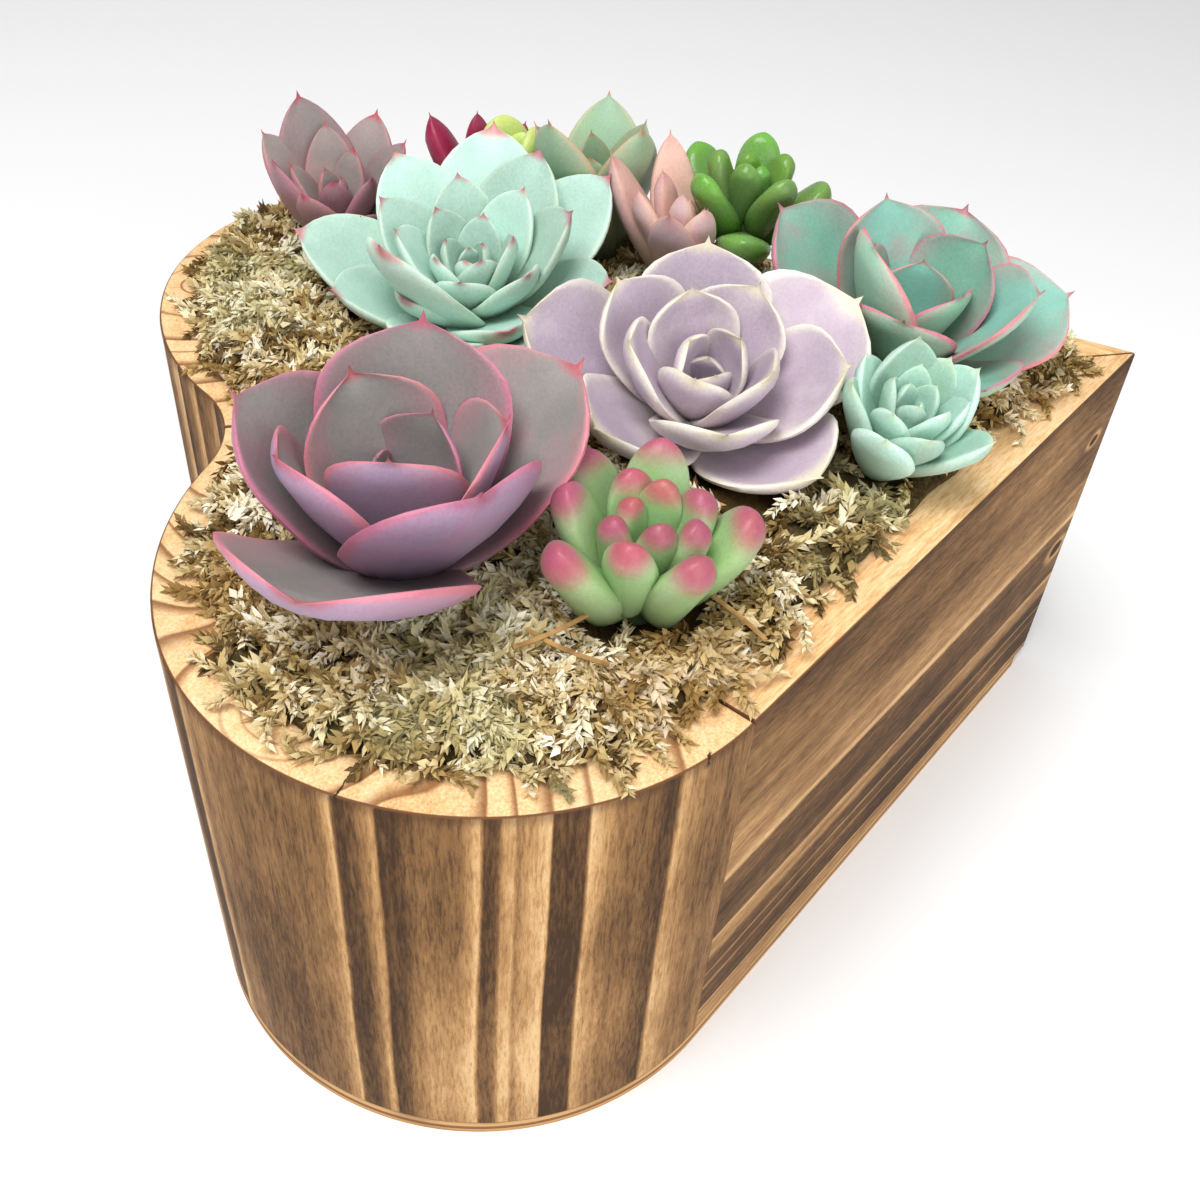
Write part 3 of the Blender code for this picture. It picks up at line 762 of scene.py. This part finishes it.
def core_shapes(plant, swell=0.0, sides=8):
    x, y = plant["at"]
    top = (plant["seat"] + 1) * MM
    bottom = SOIL_TOP - STEM_DEPTH
    radius = STEM_RADIUS + swell
    stem = bmesh.new()
    bmesh.ops.create_cone(
        stem, cap_ends=True, segments=sides, radius1=radius, radius2=radius,
        depth=top - bottom, matrix=Matrix.Translation((x * MM, y * MM, (top + bottom) / 2)),
    )
    crown = bmesh.new()
    bmesh.ops.create_uvsphere(crown, u_segments=sides, v_segments=6, radius=1)
    tall = (plant["stalk"] + 4) * MM / 2 + swell
    wide = CROWN_RADIUS + swell
    bmesh.ops.scale(crown, verts=crown.verts, vec=(wide, wide, tall))
    bmesh.ops.translate(crown, verts=crown.verts, vec=(0, 0, tall - swell - 2 * MM))
    crown.transform(crown_matrix(plant))
    return [stem, crown]


def node_tree_of(name):
    mesh = nodes[name].data
    mesh.calc_loop_triangles()
    faces = [t.vertices[:] for t in mesh.loop_triangles]
    return BVHTree.FromPolygons([v.co.copy() for v in mesh.vertices], faces)


STAND_STILL = "left_lobe_block right_lobe_block left_side_board right_side_board moss_bed"
fixed = [node_tree_of(n) for n in STAND_STILL.split()]
cores = {p["name"]: [BVHTree.FromBMesh(bm) for bm in core_shapes(p, CLEARANCE)] for p in PLANTS}
standing = {}
for plant in PLANTS:
    others = [tree for name in cores if name != plant["name"] for tree in cores[name]]
    leaves = []
    for index in range(plant["leaves"]):
        sizes = leaf_sizes(plant, index)
        lean = place_leaf(plant, sizes, fixed + others)
        if lean is not None:
            leaves.append((sizes, leaf_matrix(plant, sizes, lean)))
    standing[plant["name"]] = leaves
    fixed.append(coarse_tree(leaves))
print("Leaves:", sum(len(leaves) for leaves in standing.values()))

# %% [markdown]
# ## Leaf skin
#
# A succulent's leaf is rarely one colour. The face towards the sky, the back, the edge, the
# tip and the root all differ, and a powdery bloom lies over them. The mesh carries where
# each point is on its leaf, and one shader group mixes the plant's colours from that. The
# group also paints shade: each leaf darker towards its root, and the young middle leaves darker.


# %% The leaf skin group
SHADES = ("Inner", "Back", "Root", "Edge", "Tip", "Bloom")
AMOUNTS = ("Edge amount", "Edge width", "Tip amount", "Tip start", "Bloom amount")
MARKS = ("along", "edge", "face", "age", "tone")  # what each vertex of a leaf carries


def make_leaf_group():
    inputs = {"Place": "Vector", **dict.fromkeys(SHADES, "Color")}
    inputs.update(dict.fromkeys(AMOUNTS, "Float"))
    outputs = {"Colour": "Color", "Height": "Float", "Powder": "Float"}
    tree, given, result = new_group("leaf_skin", inputs, outputs)
    get = given.outputs
    along, edge, face, age, tone = (
        add(tree, "Attribute", attribute_name=n).outputs["Fac"] for n in MARKS
    )
    place, edging = get["Place"], get["Edge amount"]
    cloud = ripples(tree, place, 90)
    wash = ripples(tree, place, 55, detail=4, roughness=0.6)
    grit = ripples(tree, place, 1500, detail=2, roughness=0.7)
    freckle = ripples(tree, place, 420, detail=2)
    rooted = span(tree, along, 0.0, 0.62, 0.75, 0.0)
    flush = times(tree, span(tree, wash, 0.5, 0.72, 0, 0.3), edging)
    near_edge = calc(tree, "MULTIPLY_ADD", cloud, 0.25, edge)
    blush = times(tree, span(tree, near_edge, 0.5, 1.1, 0, 0.28), edging)
    rim = span(tree, edge, calc(tree, "SUBTRACT", 1, get["Edge width"]), 1.0)
    rim = times(tree, rim, span(tree, along, 0.15, 0.5), edging)
    uneven = calc(tree, "MULTIPLY_ADD", cloud, 0.14, calc(tree, "SUBTRACT", along, 0.07))
    tip = times(tree, span(tree, uneven, get["Tip start"], 0.97), get["Tip amount"])
    powder = times(tree, span(tree, cloud, 0.3, 0.7), get["Bloom amount"])
    dotted = span(tree, freckle, 0.6, 0.8, 0, 0.12)
    shown = mix(tree, face, get["Back"], get["Inner"])
    for share, shade in ((rooted, "Root"), (flush, "Edge"), (blush, "Edge"), (rim, "Edge"),
                         (tip, "Tip"), (powder, "Bloom"), (dotted, "Bloom")):
        shown = mix(tree, share, shown, get[shade])
    value = calc(tree, "ADD", span(tree, tone, 0, 1, 0.86, 1.1),
                 calc(tree, "MULTIPLY_ADD", grit, 0.36, -0.18))
    # painted shade: the young leaves in the middle of the rosette are darkened, as if shaded by
    # the older leaves round them
    middle_painted_shade = span(tree, age, 0.0, 0.5, 0.92, 1.0)
    shown = add(tree, "HueSaturation", {
        "Color": shown,
        # painted shade: each leaf is darker towards its root, where the leaves shade one another
        "Value": times(tree, value, span(tree, along, 0, 0.5, 0.7, 1), middle_painted_shade),
        "Hue": calc(tree, "MULTIPLY_ADD", tone, 0.03, 0.485),
        "Saturation": span(tree, cloud, 0.3, 0.7, 0.85, 1.12),
    })
    relief = calc(tree, "MULTIPLY_ADD", grit, 0.25, times(tree, cloud, 0.9))
    powder = span(tree, grit, 0.2, 0.8)
    set_inputs(result, {"Colour": shown.outputs[0], "Height": relief, "Powder": powder})
    return tree


leaf_skin = make_leaf_group()
print("Inputs of the leaf skin:", len(SHADES) + len(AMOUNTS) + 1)

# %% [markdown]
# Each plant has its own colours: a lilac rosette with cream edges, a purple one with pink
# edges, mint and teal ones with red tips and rims, and so on. A row gives the colours of
# the inner face, back, root, edge, tip and bloom, and then the amounts: the edge's and its
# width, the tip's and its start, the bloom's, and the skin's roughness.

# %% The plants' colours
LOOKS = {
    "lilac_echeveria": ("b3a0b2 c8b7c6 a9ab98 efe9d6 e9e2b6 cdc3cc",
        0.85, 0.2, 0.9, 0.86, 0.35, 0.46),
    "purple_echeveria": ("87837e a58cab 90828a d06c86 b93a55 a99fa8",
        0.9, 0.12, 0.9, 0.9, 0.3, 0.46),
    "mint_echeveria": ("a6cbbb b9d6c7 a9c79a d2e4cc c0405a d8eae2",
        0.5, 0.12, 1.0, 0.91, 0.35, 0.46),
    "red_edged_echeveria": ("7ab5a2 9cc8ab 8bac7a d65c78 c43c5a b5d5ca",
        1.0, 0.09, 0.95, 0.93, 0.3, 0.46),
    "jelly_bean_sedum": ("93b479 9bb983 86a86c bccf9e ac3a60 aec89e",
        0.3, 0.2, 1.0, 0.78, 0.2, 0.36),
    "small_mint_echeveria": ("94bda9 a3c9b6 8fb48f d6ede0 dbe8c4 c4e0d2",
        0.5, 0.16, 0.6, 0.9, 0.4, 0.46),
    "peach_pachyphytum": ("dcae9a cfb0b4 c2b598 e4bfa8 d08880 e0c8c8",
        0.4, 0.2, 0.7, 0.82, 0.35, 0.46),
    "green_sedum": ("6a9549 648a44 5b8040 80b055 74b04c 8aba69",
        0.3, 0.2, 0.3, 0.85, 0.1, 0.22),
    "grey_green_echeveria": ("90b08e 9ab896 8fae80 c8946c bb6852 b2c9b0",
        0.7, 0.08, 0.8, 0.93, 0.3, 0.46),
    "mauve_graptoveria": ("8f8681 a3767c 909380 b86a74 b62f48 bda6a8",
        0.6, 0.14, 1.0, 0.9, 0.3, 0.46),
    "yellow_sedum": ("bcd172 c0d67e aac466 d2dd94 cdd284 d4e4a0",
        0.3, 0.2, 0.4, 0.85, 0.15, 0.35),
    "red_sedum": ("94324c 9c3a54 77604a ac4059 85203a b06272",
        0.4, 0.2, 0.6, 0.8, 0.15, 0.35),
}


def make_leaf_material(name, codes, *amounts):
    made, tree, shader = new_material(name + "_skin")
    rough = amounts[-1]
    inputs = {"Place": object_place(tree), **dict(zip(SHADES, codes.split()))}
    inputs.update(zip(AMOUNTS, amounts))
    both = add(tree, "Group", inputs, node_tree=leaf_skin).outputs
    roughness = span(tree, both["Powder"], 0, 1, rough - 0.05, rough + 0.08)
    finish_shader(tree, shader, both["Colour"], roughness, both["Height"],
                  bump=0.35, depth=0.0005, gloss=0.3)
    set_inputs(shader, {"Subsurface Weight": 0.12, "Subsurface Radius": (0.004, 0.003, 0.0015),
                        "Subsurface Scale": 0.5})
    return made


print("Looks:", len(LOOKS))

# %% [markdown]
# A fine leaf starts as a sphere whose poles are the root and the tip. Every vertex moves to
# the leaf's own formula, the one that the coarse solid uses, with a fuller section, a faint
# wave along the edge and shallow dents, so that no two leaves look cast from one mould.

# %% Fine leaves
LEAF_SIDES = 22
LEAF_RINGS = 22
FULLNESS = 0.8  # below 1, the section is fuller than an ellipse
EDGE_WAVE = 0.012
DENT = 0.35 * MM


def add_fine_leaf(bm, marks, sizes, place, seed):
    drawn = random.Random(seed)
    tone, phase = drawn.random(), drawn.uniform(0, 6.28)
    full = 1.0 if sizes["leaf"] is BEAN else FULLNESS
    for vert, share, angle in sphere(bm, LEAF_SIDES, LEAF_RINGS):
        u = 0.5 - 0.5 * math.cos(math.pi * share)
        u = 0 if share < 0.01 else 1 if share > 0.99 else u
        around = angle + math.pi / 2
        skin = leaf_point(sizes, u, around, full=full, outline=fine_outline)
        edge = abs(math.cos(around))
        wave = EDGE_WAVE * math.sin(9 * u + phase) * edge**2 * sizes["width"]
        dent = noise.noise(skin * 110 + Vector((seed * 3.1, 0, 0))) * DENT
        skin.z += wave + dent * math.sin(math.pi * u)
        vert.co = place @ skin
        face = smooth(-0.25, 0.25, math.sin(around))
        for mark, value in zip(MARKS, (u, edge, face, sizes["age"], tone)):
            vert[marks[mark]] = value


def add_core(bm, plant):
    for shape in core_shapes(plant, sides=16):
        mesh = mesh_of("core", shape)
        bm.from_mesh(mesh)
        bpy.data.meshes.remove(mesh)


leaf_triangles = 0
plant_trees = []
for number, plant in enumerate(PLANTS):
    name = plant["name"]
    bm = bmesh.new()
    marks = {n: bm.verts.layers.float.new(n) for n in MARKS}
    for index, (sizes, place) in enumerate(standing[name]):
        add_fine_leaf(bm, marks, sizes, place, number * 100 + index)
    bmesh.ops.reverse_faces(bm, faces=bm.faces)
    add_core(bm, plant)
    plant_trees.append(BVHTree.FromBMesh(bm))
    finish = make_leaf_material(name, *LOOKS[name])
    piece = add_piece("fine_" + name, bm, finish, [name], sharp=80)
    leaf_triangles += sum(len(p.vertices) - 2 for p in piece.data.polygons)
print("Leaf triangles:", leaf_triangles)

# %% [markdown]
# ## Moss
#
# The moss is dried sphagnum. Close up it is a tangle of short stems, each with small
# pointed leaves all round. A mat gives it body and shade: a mound that dips round each
# plant, is wavy like a cushion, and spills a little over the rim.

# %% The mat
MOSS_BOTTOM = SOIL_TOP + GAP
MOSS_RINGS = 44
MOSS_SPILL = 3.5 * MM
MOSS_RISE = 3 * MM
MOSS_MOUND = 8 * MM
MOSS_LIP = 1.6 * MM
MOSS_DIP = 6
MOSS_DIP_SHARE = 0.3
MOSS_BANK = 0.4
MIDDLE = Vector((0, 15 * MM))


def stations(outline, spacing):
    points = []
    for here, after in zip(outline, outline[1:] + outline[:1]):
        steps = max(1, round((after - here).length / spacing))
        points += [here.lerp(after, i / steps) for i in range(steps)]
    return points


def moss_height(x, y, share):
    ripple = (
        math.sin(x / (6.1 * MM) + 1.3) * math.cos(y / (5.3 * MM))
        + 0.6 * math.sin((x + y) / (3.9 * MM))
        + 0.5 * math.cos((x - 1.7 * y) / (4.7 * MM) + 0.6)
    )
    height = RIM + MOSS_MOUND + 1.1 * MM * ripple
    for plant in PLANTS:
        away = math.hypot(x - plant["at"][0] * MM, y - plant["at"][1] * MM)
        beyond = max(0.0, away - MOSS_DIP_SHARE * plant["length"][1] * MM)
        height = min(height, (plant["seat"] - MOSS_DIP) * MM + MOSS_BANK * beyond)
    edge = max(0.0, share - 0.7) / 0.3
    return max(between(height, RIM + MOSS_RISE, edge**2), RIM + MOSS_LIP * edge)


def spill_of(out):
    angle = math.atan2(out.y, out.x)
    wave = 0.5 * math.sin(5 * angle + 1) + 0.35 * math.sin(11 * angle)
    return (WALL * 0.08 + MOSS_SPILL * (1 + wave + 0.3 * math.sin(23 * angle))) * 0.55


def make_mat():
    mouth = stations(heart_outline(WALL + GAP), 3 * MM)
    rings = MOSS_RINGS + 4
    bm = bmesh.new()
    for vert, from_foot, angle in sphere(bm, len(mouth), rings):
        ring = round((1 - from_foot) * rings)
        out = mouth[round(angle / (2 * math.pi) * len(mouth)) % len(mouth)] - MIDDLE
        spilt = MIDDLE + out * (1 + spill_of(out) / out.length)
        share = min(1, ring / (MOSS_RINGS - 1))
        if ring < MOSS_RINGS:
            place = MIDDLE + out * share
            height = moss_height(place.x, place.y, share)
            height += 0.8 * MM * noise.noise(Vector((place.x, place.y, 0)) * 260)
        elif ring <= MOSS_RINGS + 1:
            place = spilt
            height = RIM + GAP if ring > MOSS_RINGS else RIM + MOSS_LIP
        elif ring < rings:
            place = MIDDLE + out
            height = RIM + GAP if ring == MOSS_RINGS + 2 else MOSS_BOTTOM
        else:
            place, height = MIDDLE, MOSS_BOTTOM
        vert.co = (place.x, place.y, height)
    return bm, mouth


mat_bm, mouth = make_mat()
mat_tree = BVHTree.FromBMesh(mat_bm)
print("Moss mat:", len(mouth), "spokes")

# %% [markdown]
# Dry moss is straw-coloured, with greener and browner patches. The mat is painted dark, as
# the shade that lies deep between the sprigs, where alone it is seen. A sprig's tone comes
# from a value that its mesh carries, so that no two neighbours look the same, and a lower
# batch is painted darker, as shade under the sprigs above it.


# %% Dry moss, the material
def make_moss_material(name, mat):
    made, tree, shader = new_material(name)
    place = object_place(tree)
    patch = ripples(tree, place, 26, detail=2)
    strand = ripples(tree, place, 650, detail=4, roughness=0.7, distortion=1.5)
    if mat:
        # painted shade: the mat's dark stops stand for the shade deep between the sprigs
        stops = [(0.3, "251b0e"), (0.55, "4f3f22"), (0.8, "877242")]
        tone = strand
    else:
        tone = add(tree, "Attribute", attribute_name="tone").outputs["Fac"]
        stops = [(0.0, "5f4929"), (0.22, "9c7f4a"), (0.45, "c9b27c"),
                 (0.7, "e4d4a8"), (1.0, "faf2dc")]
    straw = ramp(tree, tone, stops)
    green, brown = ("6d6b45", "5d4526") if mat else ("b4b585", "b58f52")
    base = mix(tree, span(tree, patch, 0.54, 0.66, 0, 0.42), straw, green)
    base = mix(tree, span(tree, patch, 0.46, 0.36, 0, 0.5), base, brown)
    finish_shader(tree, shader, base, 0.85, strand, bump=0.6, depth=0.0006)
    return made


add_piece("fine_moss_mat", mat_bm, make_moss_material("moss_mat", True), ["moss_bed"],
          sharp=60)
print("Materials:", len(bpy.data.materials))

# %% [markdown]
# A sprig is a thin stem with whorls of pointed leaflets along it, like a small feather. Each
# leaflet is two three-sided cones set base to base and flattened: it is closed and has only
# six faces, because it is repeated so often. Every sprig grows its own way over the ground,
# so none is a copy of another.

# %% One leaflet
leaflet_bm = bmesh.new()
bmesh.ops.create_cone(
    leaflet_bm, cap_ends=False, segments=3, radius1=0.5, radius2=0, depth=0.6,
    matrix=Matrix.Translation((0, 0, 0.7)),
)
bmesh.ops.create_cone(
    leaflet_bm, cap_ends=False, segments=3, radius1=0, radius2=0.5, depth=0.4,
    matrix=Matrix.Translation((0, 0, 0.2)),
)
bmesh.ops.remove_doubles(leaflet_bm, verts=leaflet_bm.verts, dist=0.01)
bmesh.ops.recalc_face_normals(leaflet_bm, faces=leaflet_bm.faces)
bmesh.ops.triangulate(leaflet_bm, faces=leaflet_bm.faces)
leaflet_bm.verts.index_update()
LEAFLET_POINTS = np.array([v.co[:] for v in leaflet_bm.verts])
LEAFLET_FACES = np.array([[v.index for v in f.verts] for f in leaflet_bm.faces])
leaflet_bm.free()
print("Faces of a leaflet:", len(LEAFLET_FACES))


# %% [markdown]
# The line of a sprig follows the ground: the mat where there is one, and the wall's top
# past its edge. Along the wall the sprigs mostly run beside it, and hardly any reach past the
# outer edge. A line that would meet a leaf is tried again somewhere else.

# %% Where the sprigs run
WHORLS = 14
WHORL_STEP = 0.98 * MM
FURTHEST = max((p - MIDDLE).length for p in mouth)
SHADE_REACH = 16 * MM
SKIPPED = 0.6  # share of the sprigs left out under a leaf
LEAST_LIFT = 0.3 * MM
TOUCH = 1.1 * MM
DOWN, UP = Vector((0, 0, -1)), Vector((0, 0, 1))


def reach_at(outline):
    """The outline's distance from the middle, by angle."""
    spots = [p - MIDDLE for p in stations(outline, 1.5 * MM)]
    angles = np.array([math.atan2(s.y, s.x) for s in spots])
    order = np.argsort(angles)
    return angles[order], np.array([s.length for s in spots])[order]


OUTER_EDGE = reach_at(heart_outline(0))


def share_of(points, edge):
    """How far out each point is, where 1 is on the edge."""
    x, y = points[:, 0] - MIDDLE.x, points[:, 1] - MIDDLE.y
    return np.hypot(x, y) / np.interp(np.arctan2(y, x), *edge, period=2 * math.pi)


def ground_at(x, y):
    hit = mat_tree.ray_cast(Vector((x, y, 0.2)), DOWN)[0]
    return max(hit.z if hit else RIM, RIM)


def blocked(points):
    """Whether any of these points is in a leaf or nearly touches one."""
    for point in points:
        for tree in plant_trees:
            spot, normal, _, away = tree.find_nearest(point, 2.5 * MM)
            if spot and (away < TOUCH or (point - spot).dot(normal) < 0):
                return True
    return False


def leaf_above(x, y):
    start = Vector((x, y, ground_at(x, y) + 1 * MM))
    return any(tree.ray_cast(start, UP, SHADE_REACH)[0] for tree in plant_trees)


def sprig_foot(drawn, near_rim):
    """A random start, spread evenly over the area, and the way outwards there."""
    while True:
        out = mouth[drawn.randrange(len(mouth))] - MIDDLE
        if drawn.random() < (out.length / FURTHEST) ** 1.4:
            break
    share = drawn.uniform(0.9, 1.04) if near_rim else math.sqrt(drawn.random()) * 0.99
    return MIDDLE + out * share, math.atan2(out.y, out.x)


def sprig_line(drawn, near_rim, lift, overhang):
    """The points of one sprig's line, or nothing where it doesn't fit."""
    spot, outwards = sprig_foot(drawn, near_rim)
    if leaf_above(*spot) and drawn.random() < SKIPPED:
        return None
    beside = drawn.choice((-1, 1)) * drawn.uniform(0.5, 2.2)
    heading = outwards + (beside if near_rim else drawn.uniform(-3.14, 3.14))
    step = WHORL_STEP * drawn.uniform(0.65, 1.25)
    arch, bend, line = drawn.uniform(0.2, 2.4) * MM, drawn.uniform(-0.2, 0.2), []
    lift = lift + drawn.uniform(-0.5, 0.7) * MM
    for index in range(WHORLS):
        along = index / (WHORLS - 1)
        level = ground_at(*spot) + max(LEAST_LIFT, lift) + arch * math.sin(2.6 * along)
        line.append((spot.x, spot.y, level))
        if index % 4 == 3:
            bend = drawn.uniform(-0.28, 0.28)
        heading += bend
        spot = spot + step * Vector((math.cos(heading), math.sin(heading)))
    line = np.array(line)
    limit = drawn.choice((0.92, 0.95, 0.97, overhang))
    if share_of(line, OUTER_EDGE).max() > limit or blocked([Vector(p) for p in line[::2]]):
        return None
    return line


def sprig_lines(count, seed, near_rim, lift, overhang):
    drawn = random.Random(seed)
    lines = []
    while len(lines) < count:
        line = sprig_line(drawn, near_rim, lift, overhang)
        if line is not None:
            lines.append(line)
    return np.array(lines)


# %% [markdown]
# All the leaflets of a batch are placed at once, as arrays. At each whorl two directions
# square to the stem carry three leaflets round it, leaning forwards. The stem is a
# three-sided tube through the same points. The batches become pieces of their own, because
# a piece has a limit on triangles.


# %% Sprigs from their lines
STEM_TONE = 0.2


def unit(vectors):
    return vectors / np.linalg.norm(vectors, axis=-1, keepdims=True)


def frames_of(lines):
    """Forward, side and upward directions at each point of the lines."""
    forward = unit(np.gradient(lines, axis=1))
    side = unit(np.cross(forward, (0, 0, 1)))
    return forward, side, np.cross(side, forward)


def leaflets_of(lines, drawn):
    forward, side, upward = frames_of(lines)
    shape = (len(lines), WHORLS, 3, 1)
    turn = np.arange(WHORLS).reshape(1, -1, 1, 1) * 1.1 + np.arange(3).reshape(1, 1, -1, 1) * 2.1
    turn = turn + drawn.uniform(-0.5, 0.5, shape)
    out = np.cos(turn) * side[:, :, None] + np.sin(turn) * upward[:, :, None]
    fluff = drawn.uniform(0.3, 1.2, shape)
    ahead = unit(forward[:, :, None] + out * fluff)
    flat = unit(np.cross(ahead, drawn.normal(size=(*shape[:3], 3))))
    thin = np.cross(ahead, flat)
    taper = 1 - 0.35 * np.linspace(0, 1, WHORLS).reshape(1, -1, 1, 1)
    length = drawn.uniform(2.3, 4.1, shape) * MM * taper
    wide, deep = length * drawn.uniform(0.42, 0.66, shape), length * 0.2
    pieces = [
        (LEAFLET_POINTS[:, i, None] * size[..., None, :]) * axis[..., None, :]
        for i, (size, axis) in enumerate(((wide, flat), (deep, thin), (length, ahead)))
    ]
    points = (lines[:, :, None, None] + sum(pieces)).reshape(-1, 3)
    count = len(points) // len(LEAFLET_POINTS)
    starts = np.arange(count).reshape(-1, 1, 1) * len(LEAFLET_POINTS)
    return points, (LEAFLET_FACES + starts).reshape(-1, 3), count


def stems_of(lines, radius=0.3 * MM, sides=3):
    stops = lines[:, ::3]
    forward, side, upward = frames_of(stops)
    angles = np.arange(sides).reshape(1, 1, -1, 1) * 2 * math.pi / sides
    ring = np.cos(angles) * side[:, :, None] + np.sin(angles) * upward[:, :, None]
    points = (stops[:, :, None] + ring * radius).reshape(-1, 3)
    rings, faces = stops.shape[1], []
    for low in range(rings - 1):
        for here in range(sides):
            after = (here + 1) % sides
            a, b = low * sides + here, low * sides + after
            faces += [(a, a + sides, b), (b, a + sides, b + sides)]
    last = (rings - 1) * sides
    faces += [(0, 1, 2), (last, last + 2, last + 1)]
    starts = np.arange(len(lines)).reshape(-1, 1, 1) * rings * sides
    return points, (np.array(faces) + starts).reshape(-1, 3)


def settle(points):
    """Points that would lie in the wall's top are laid flat on it."""
    floor = RIM + 0.3 * MM
    low = points[:, 2] < floor
    points[low, 2] = floor + (points[low, 2] - floor) * 0.05
    return points


def add_sprigs(name, lines, seed, shade, finish):
    drawn = np.random.default_rng(seed)
    blades, blade_faces, count = leaflets_of(lines, drawn)
    stems, stem_faces = stems_of(lines)
    # painted shade: the batch's offset darkens the lower batches and lightens the top one, as if
    # the upper sprigs shaded the lower
    each = np.repeat(drawn.uniform(0.0, 1.0, len(lines)) + shade, count // len(lines))
    tones = np.repeat(each + drawn.uniform(-0.22, 0.22, count), len(LEAFLET_POINTS))
    tones = np.concatenate([tones, np.full(len(stems), STEM_TONE)])
    points = settle(np.concatenate([blades, stems]))
    faces = np.concatenate([blade_faces, stem_faces + len(blades)])
    mesh = bpy.data.meshes.new(name)
    mesh.from_pydata(points.tolist(), [], faces.tolist())
    mesh.attributes.new("tone", "FLOAT", "POINT").data.foreach_set("value", tones)
    mesh.materials.append(finish)
    piece = new_object(name, mesh)
    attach(piece, "root")
    return len(faces)


sprig_finish = make_moss_material("moss_sprigs", False)
BATCHES = [
    # sprigs, near the rim, lift, how far out the boldest may reach, and how much paler or
    # darker: painted shade by height, darkest for the lowest batch
    (690, False, 0.0, 0.96, -0.42),
    (690, False, 1.1 * MM, 0.97, -0.1),
    (690, False, 2.8 * MM, 0.98, 0.1),
    (690, True, 0.6 * MM, 0.995, -0.04),
]
for number, (count, near_rim, lift, overhang, shade) in enumerate(BATCHES, 1):
    lines = sprig_lines(count, 40 + number, near_rim, lift, overhang)
    made = add_sprigs(f"moss_sprigs_{number}", lines, number, shade, sprig_finish)
    print("Sprigs:", count, "triangles:", made)

# %% [markdown]
# A few dry brown stalks lie in the moss. Each is a thin ring, spun part of the way round a
# wide circle.


# %% Dry stalks
def add_stalk(bm, foot, heading, bow, sweep, radius):
    """A stalk from foot, bowed along an arc of the given radius and sweep."""
    before = set(bm.verts)
    ring = bmesh.ops.create_circle(bm, segments=6, radius=radius, cap_ends=True,
                                   matrix=Matrix.Rotation(math.pi / 2, 4, "Y"))
    faces = list({f for v in ring["verts"] for f in v.link_faces})
    bmesh.ops.spin(bm, geom=faces, cent=(0, bow, 0), axis=(0, 0, 1), angle=sweep, steps=12)
    place = Matrix.Translation(foot) @ Matrix.Rotation(heading, 4, "Z")
    bmesh.ops.transform(bm, verts=[v for v in bm.verts if v not in before], matrix=place)


STALKS = [
    # foot in mm, heading in degrees, bow in mm, sweep in degrees
    ((-86, 55, 114.2), -75, 60, 34),
    ((-92, 40, 113.6), 60, -38, -24),
    ((-90, 12, 112.8), 20, 70, 16),
    ((40, 74, 113.6), 140, 50, 22),
]
stalk_bm = bmesh.new()
for foot, heading, bow, sweep in STALKS:
    place = Vector([f * MM for f in foot])
    add_stalk(stalk_bm, place, math.radians(heading), bow * MM, math.radians(sweep), 0.45 * MM)
bmesh.ops.recalc_face_normals(stalk_bm, faces=stalk_bm.faces)
stalk_finish, stalk_tree, stalk_shader = new_material("moss_stalk")
stalk_grain = ripples(stalk_tree, object_place(stalk_tree), 300)
stalk_base = ramp(stalk_tree, stalk_grain, [(0.3, "7a5630"), (0.7, "b8925c")])
finish_shader(stalk_tree, stalk_shader, stalk_base, 0.7, stalk_grain)
add_piece("moss_stalks", stalk_bm, stalk_finish)
print("Stalks:", len(STALKS))

# %% [markdown]
# ## Soil
#
# The soil hides under the moss. It keeps its CAD solid and gets a dark crumbly material.


# %% Soil
def make_soil():
    made, tree, shader = new_material("potting_soil_crumb")
    place = object_place(tree)
    crumb = ripples(tree, place, 320, detail=5, roughness=0.7)
    base = ramp(tree, crumb, [(0.3, "1d1510"), (0.55, "3a2a1e"), (0.75, "5a4632")])
    finish_shader(tree, shader, base, 0.95, crumb, bump=0.8, depth=0.001)
    return made


soil_slots = nodes["potting_soil"].data.materials
soil_slots.clear()
soil_slots.append(make_soil())

# %% [markdown]
# ## Studio
#
# A pale floor and an even white surround light the part from all sides. A large soft light
# overhead and a weaker one at the left give it shape.

# %% Floor and light
scene = bpy.context.scene
floor_bm = bmesh.new()
bmesh.ops.create_grid(floor_bm, x_segments=1, y_segments=1, size=3)
floor = new_object("floor", mesh_of("floor", floor_bm))
pale, pale_tree, pale_shader = new_material("pale_floor")
set_inputs(pale_shader, {"Base Color": (0.9, 0.9, 0.9, 1), "Roughness": 0.9})
floor.data.materials.append(pale)

world = bpy.data.worlds.new("studio")
world.use_nodes = True
set_inputs(world.node_tree.nodes["Background"], {0: (1, 1, 1, 1), 1: 0.48})
scene.world = world
scene.view_settings.view_transform = "Standard"


def add_softbox(name, place, aim, size, power):
    light = bpy.data.lights.new(name, "AREA")
    light.shape, light.size, light.energy = "SQUARE", size, power
    lamp = new_object(name, light)
    lamp.location = place
    lamp.rotation_euler = (Vector(aim) - Vector(place)).to_track_quat("-Z", "Y").to_euler()


add_softbox("overhead", (-0.25, 0.35, 1.1), (0, 0, 0.08), 0.6, 11.5)
add_softbox("fill", (-0.9, -0.3, 0.5), (0, 0, 0.06), 0.8, 5)
print("Floor and lights:", 3)

# %% [markdown]
# The camera was fitted to the heart's outline in the photograph. Its turn is given by
# the directions that are to its right, above it and behind it.

# %% Camera
camera = bpy.data.cameras.new("camera")
camera.sensor_width, camera.lens = 36, 38.87
camera.clip_start = 0.01
eye = new_object("camera", camera)
to_right, above = (-0.2252, -0.9727, 0.0553), (0.6632, -0.1115, 0.7401)
behind = (-0.7137, 0.2033, 0.6703)
stand = Matrix((to_right, above, behind)).transposed().to_4x4()
stand.translation = (-0.2367, 0.0836, 0.2642)
eye.matrix_world = stand
scene.camera = eye
print("Camera distance:", round(eye.location.length, 3))
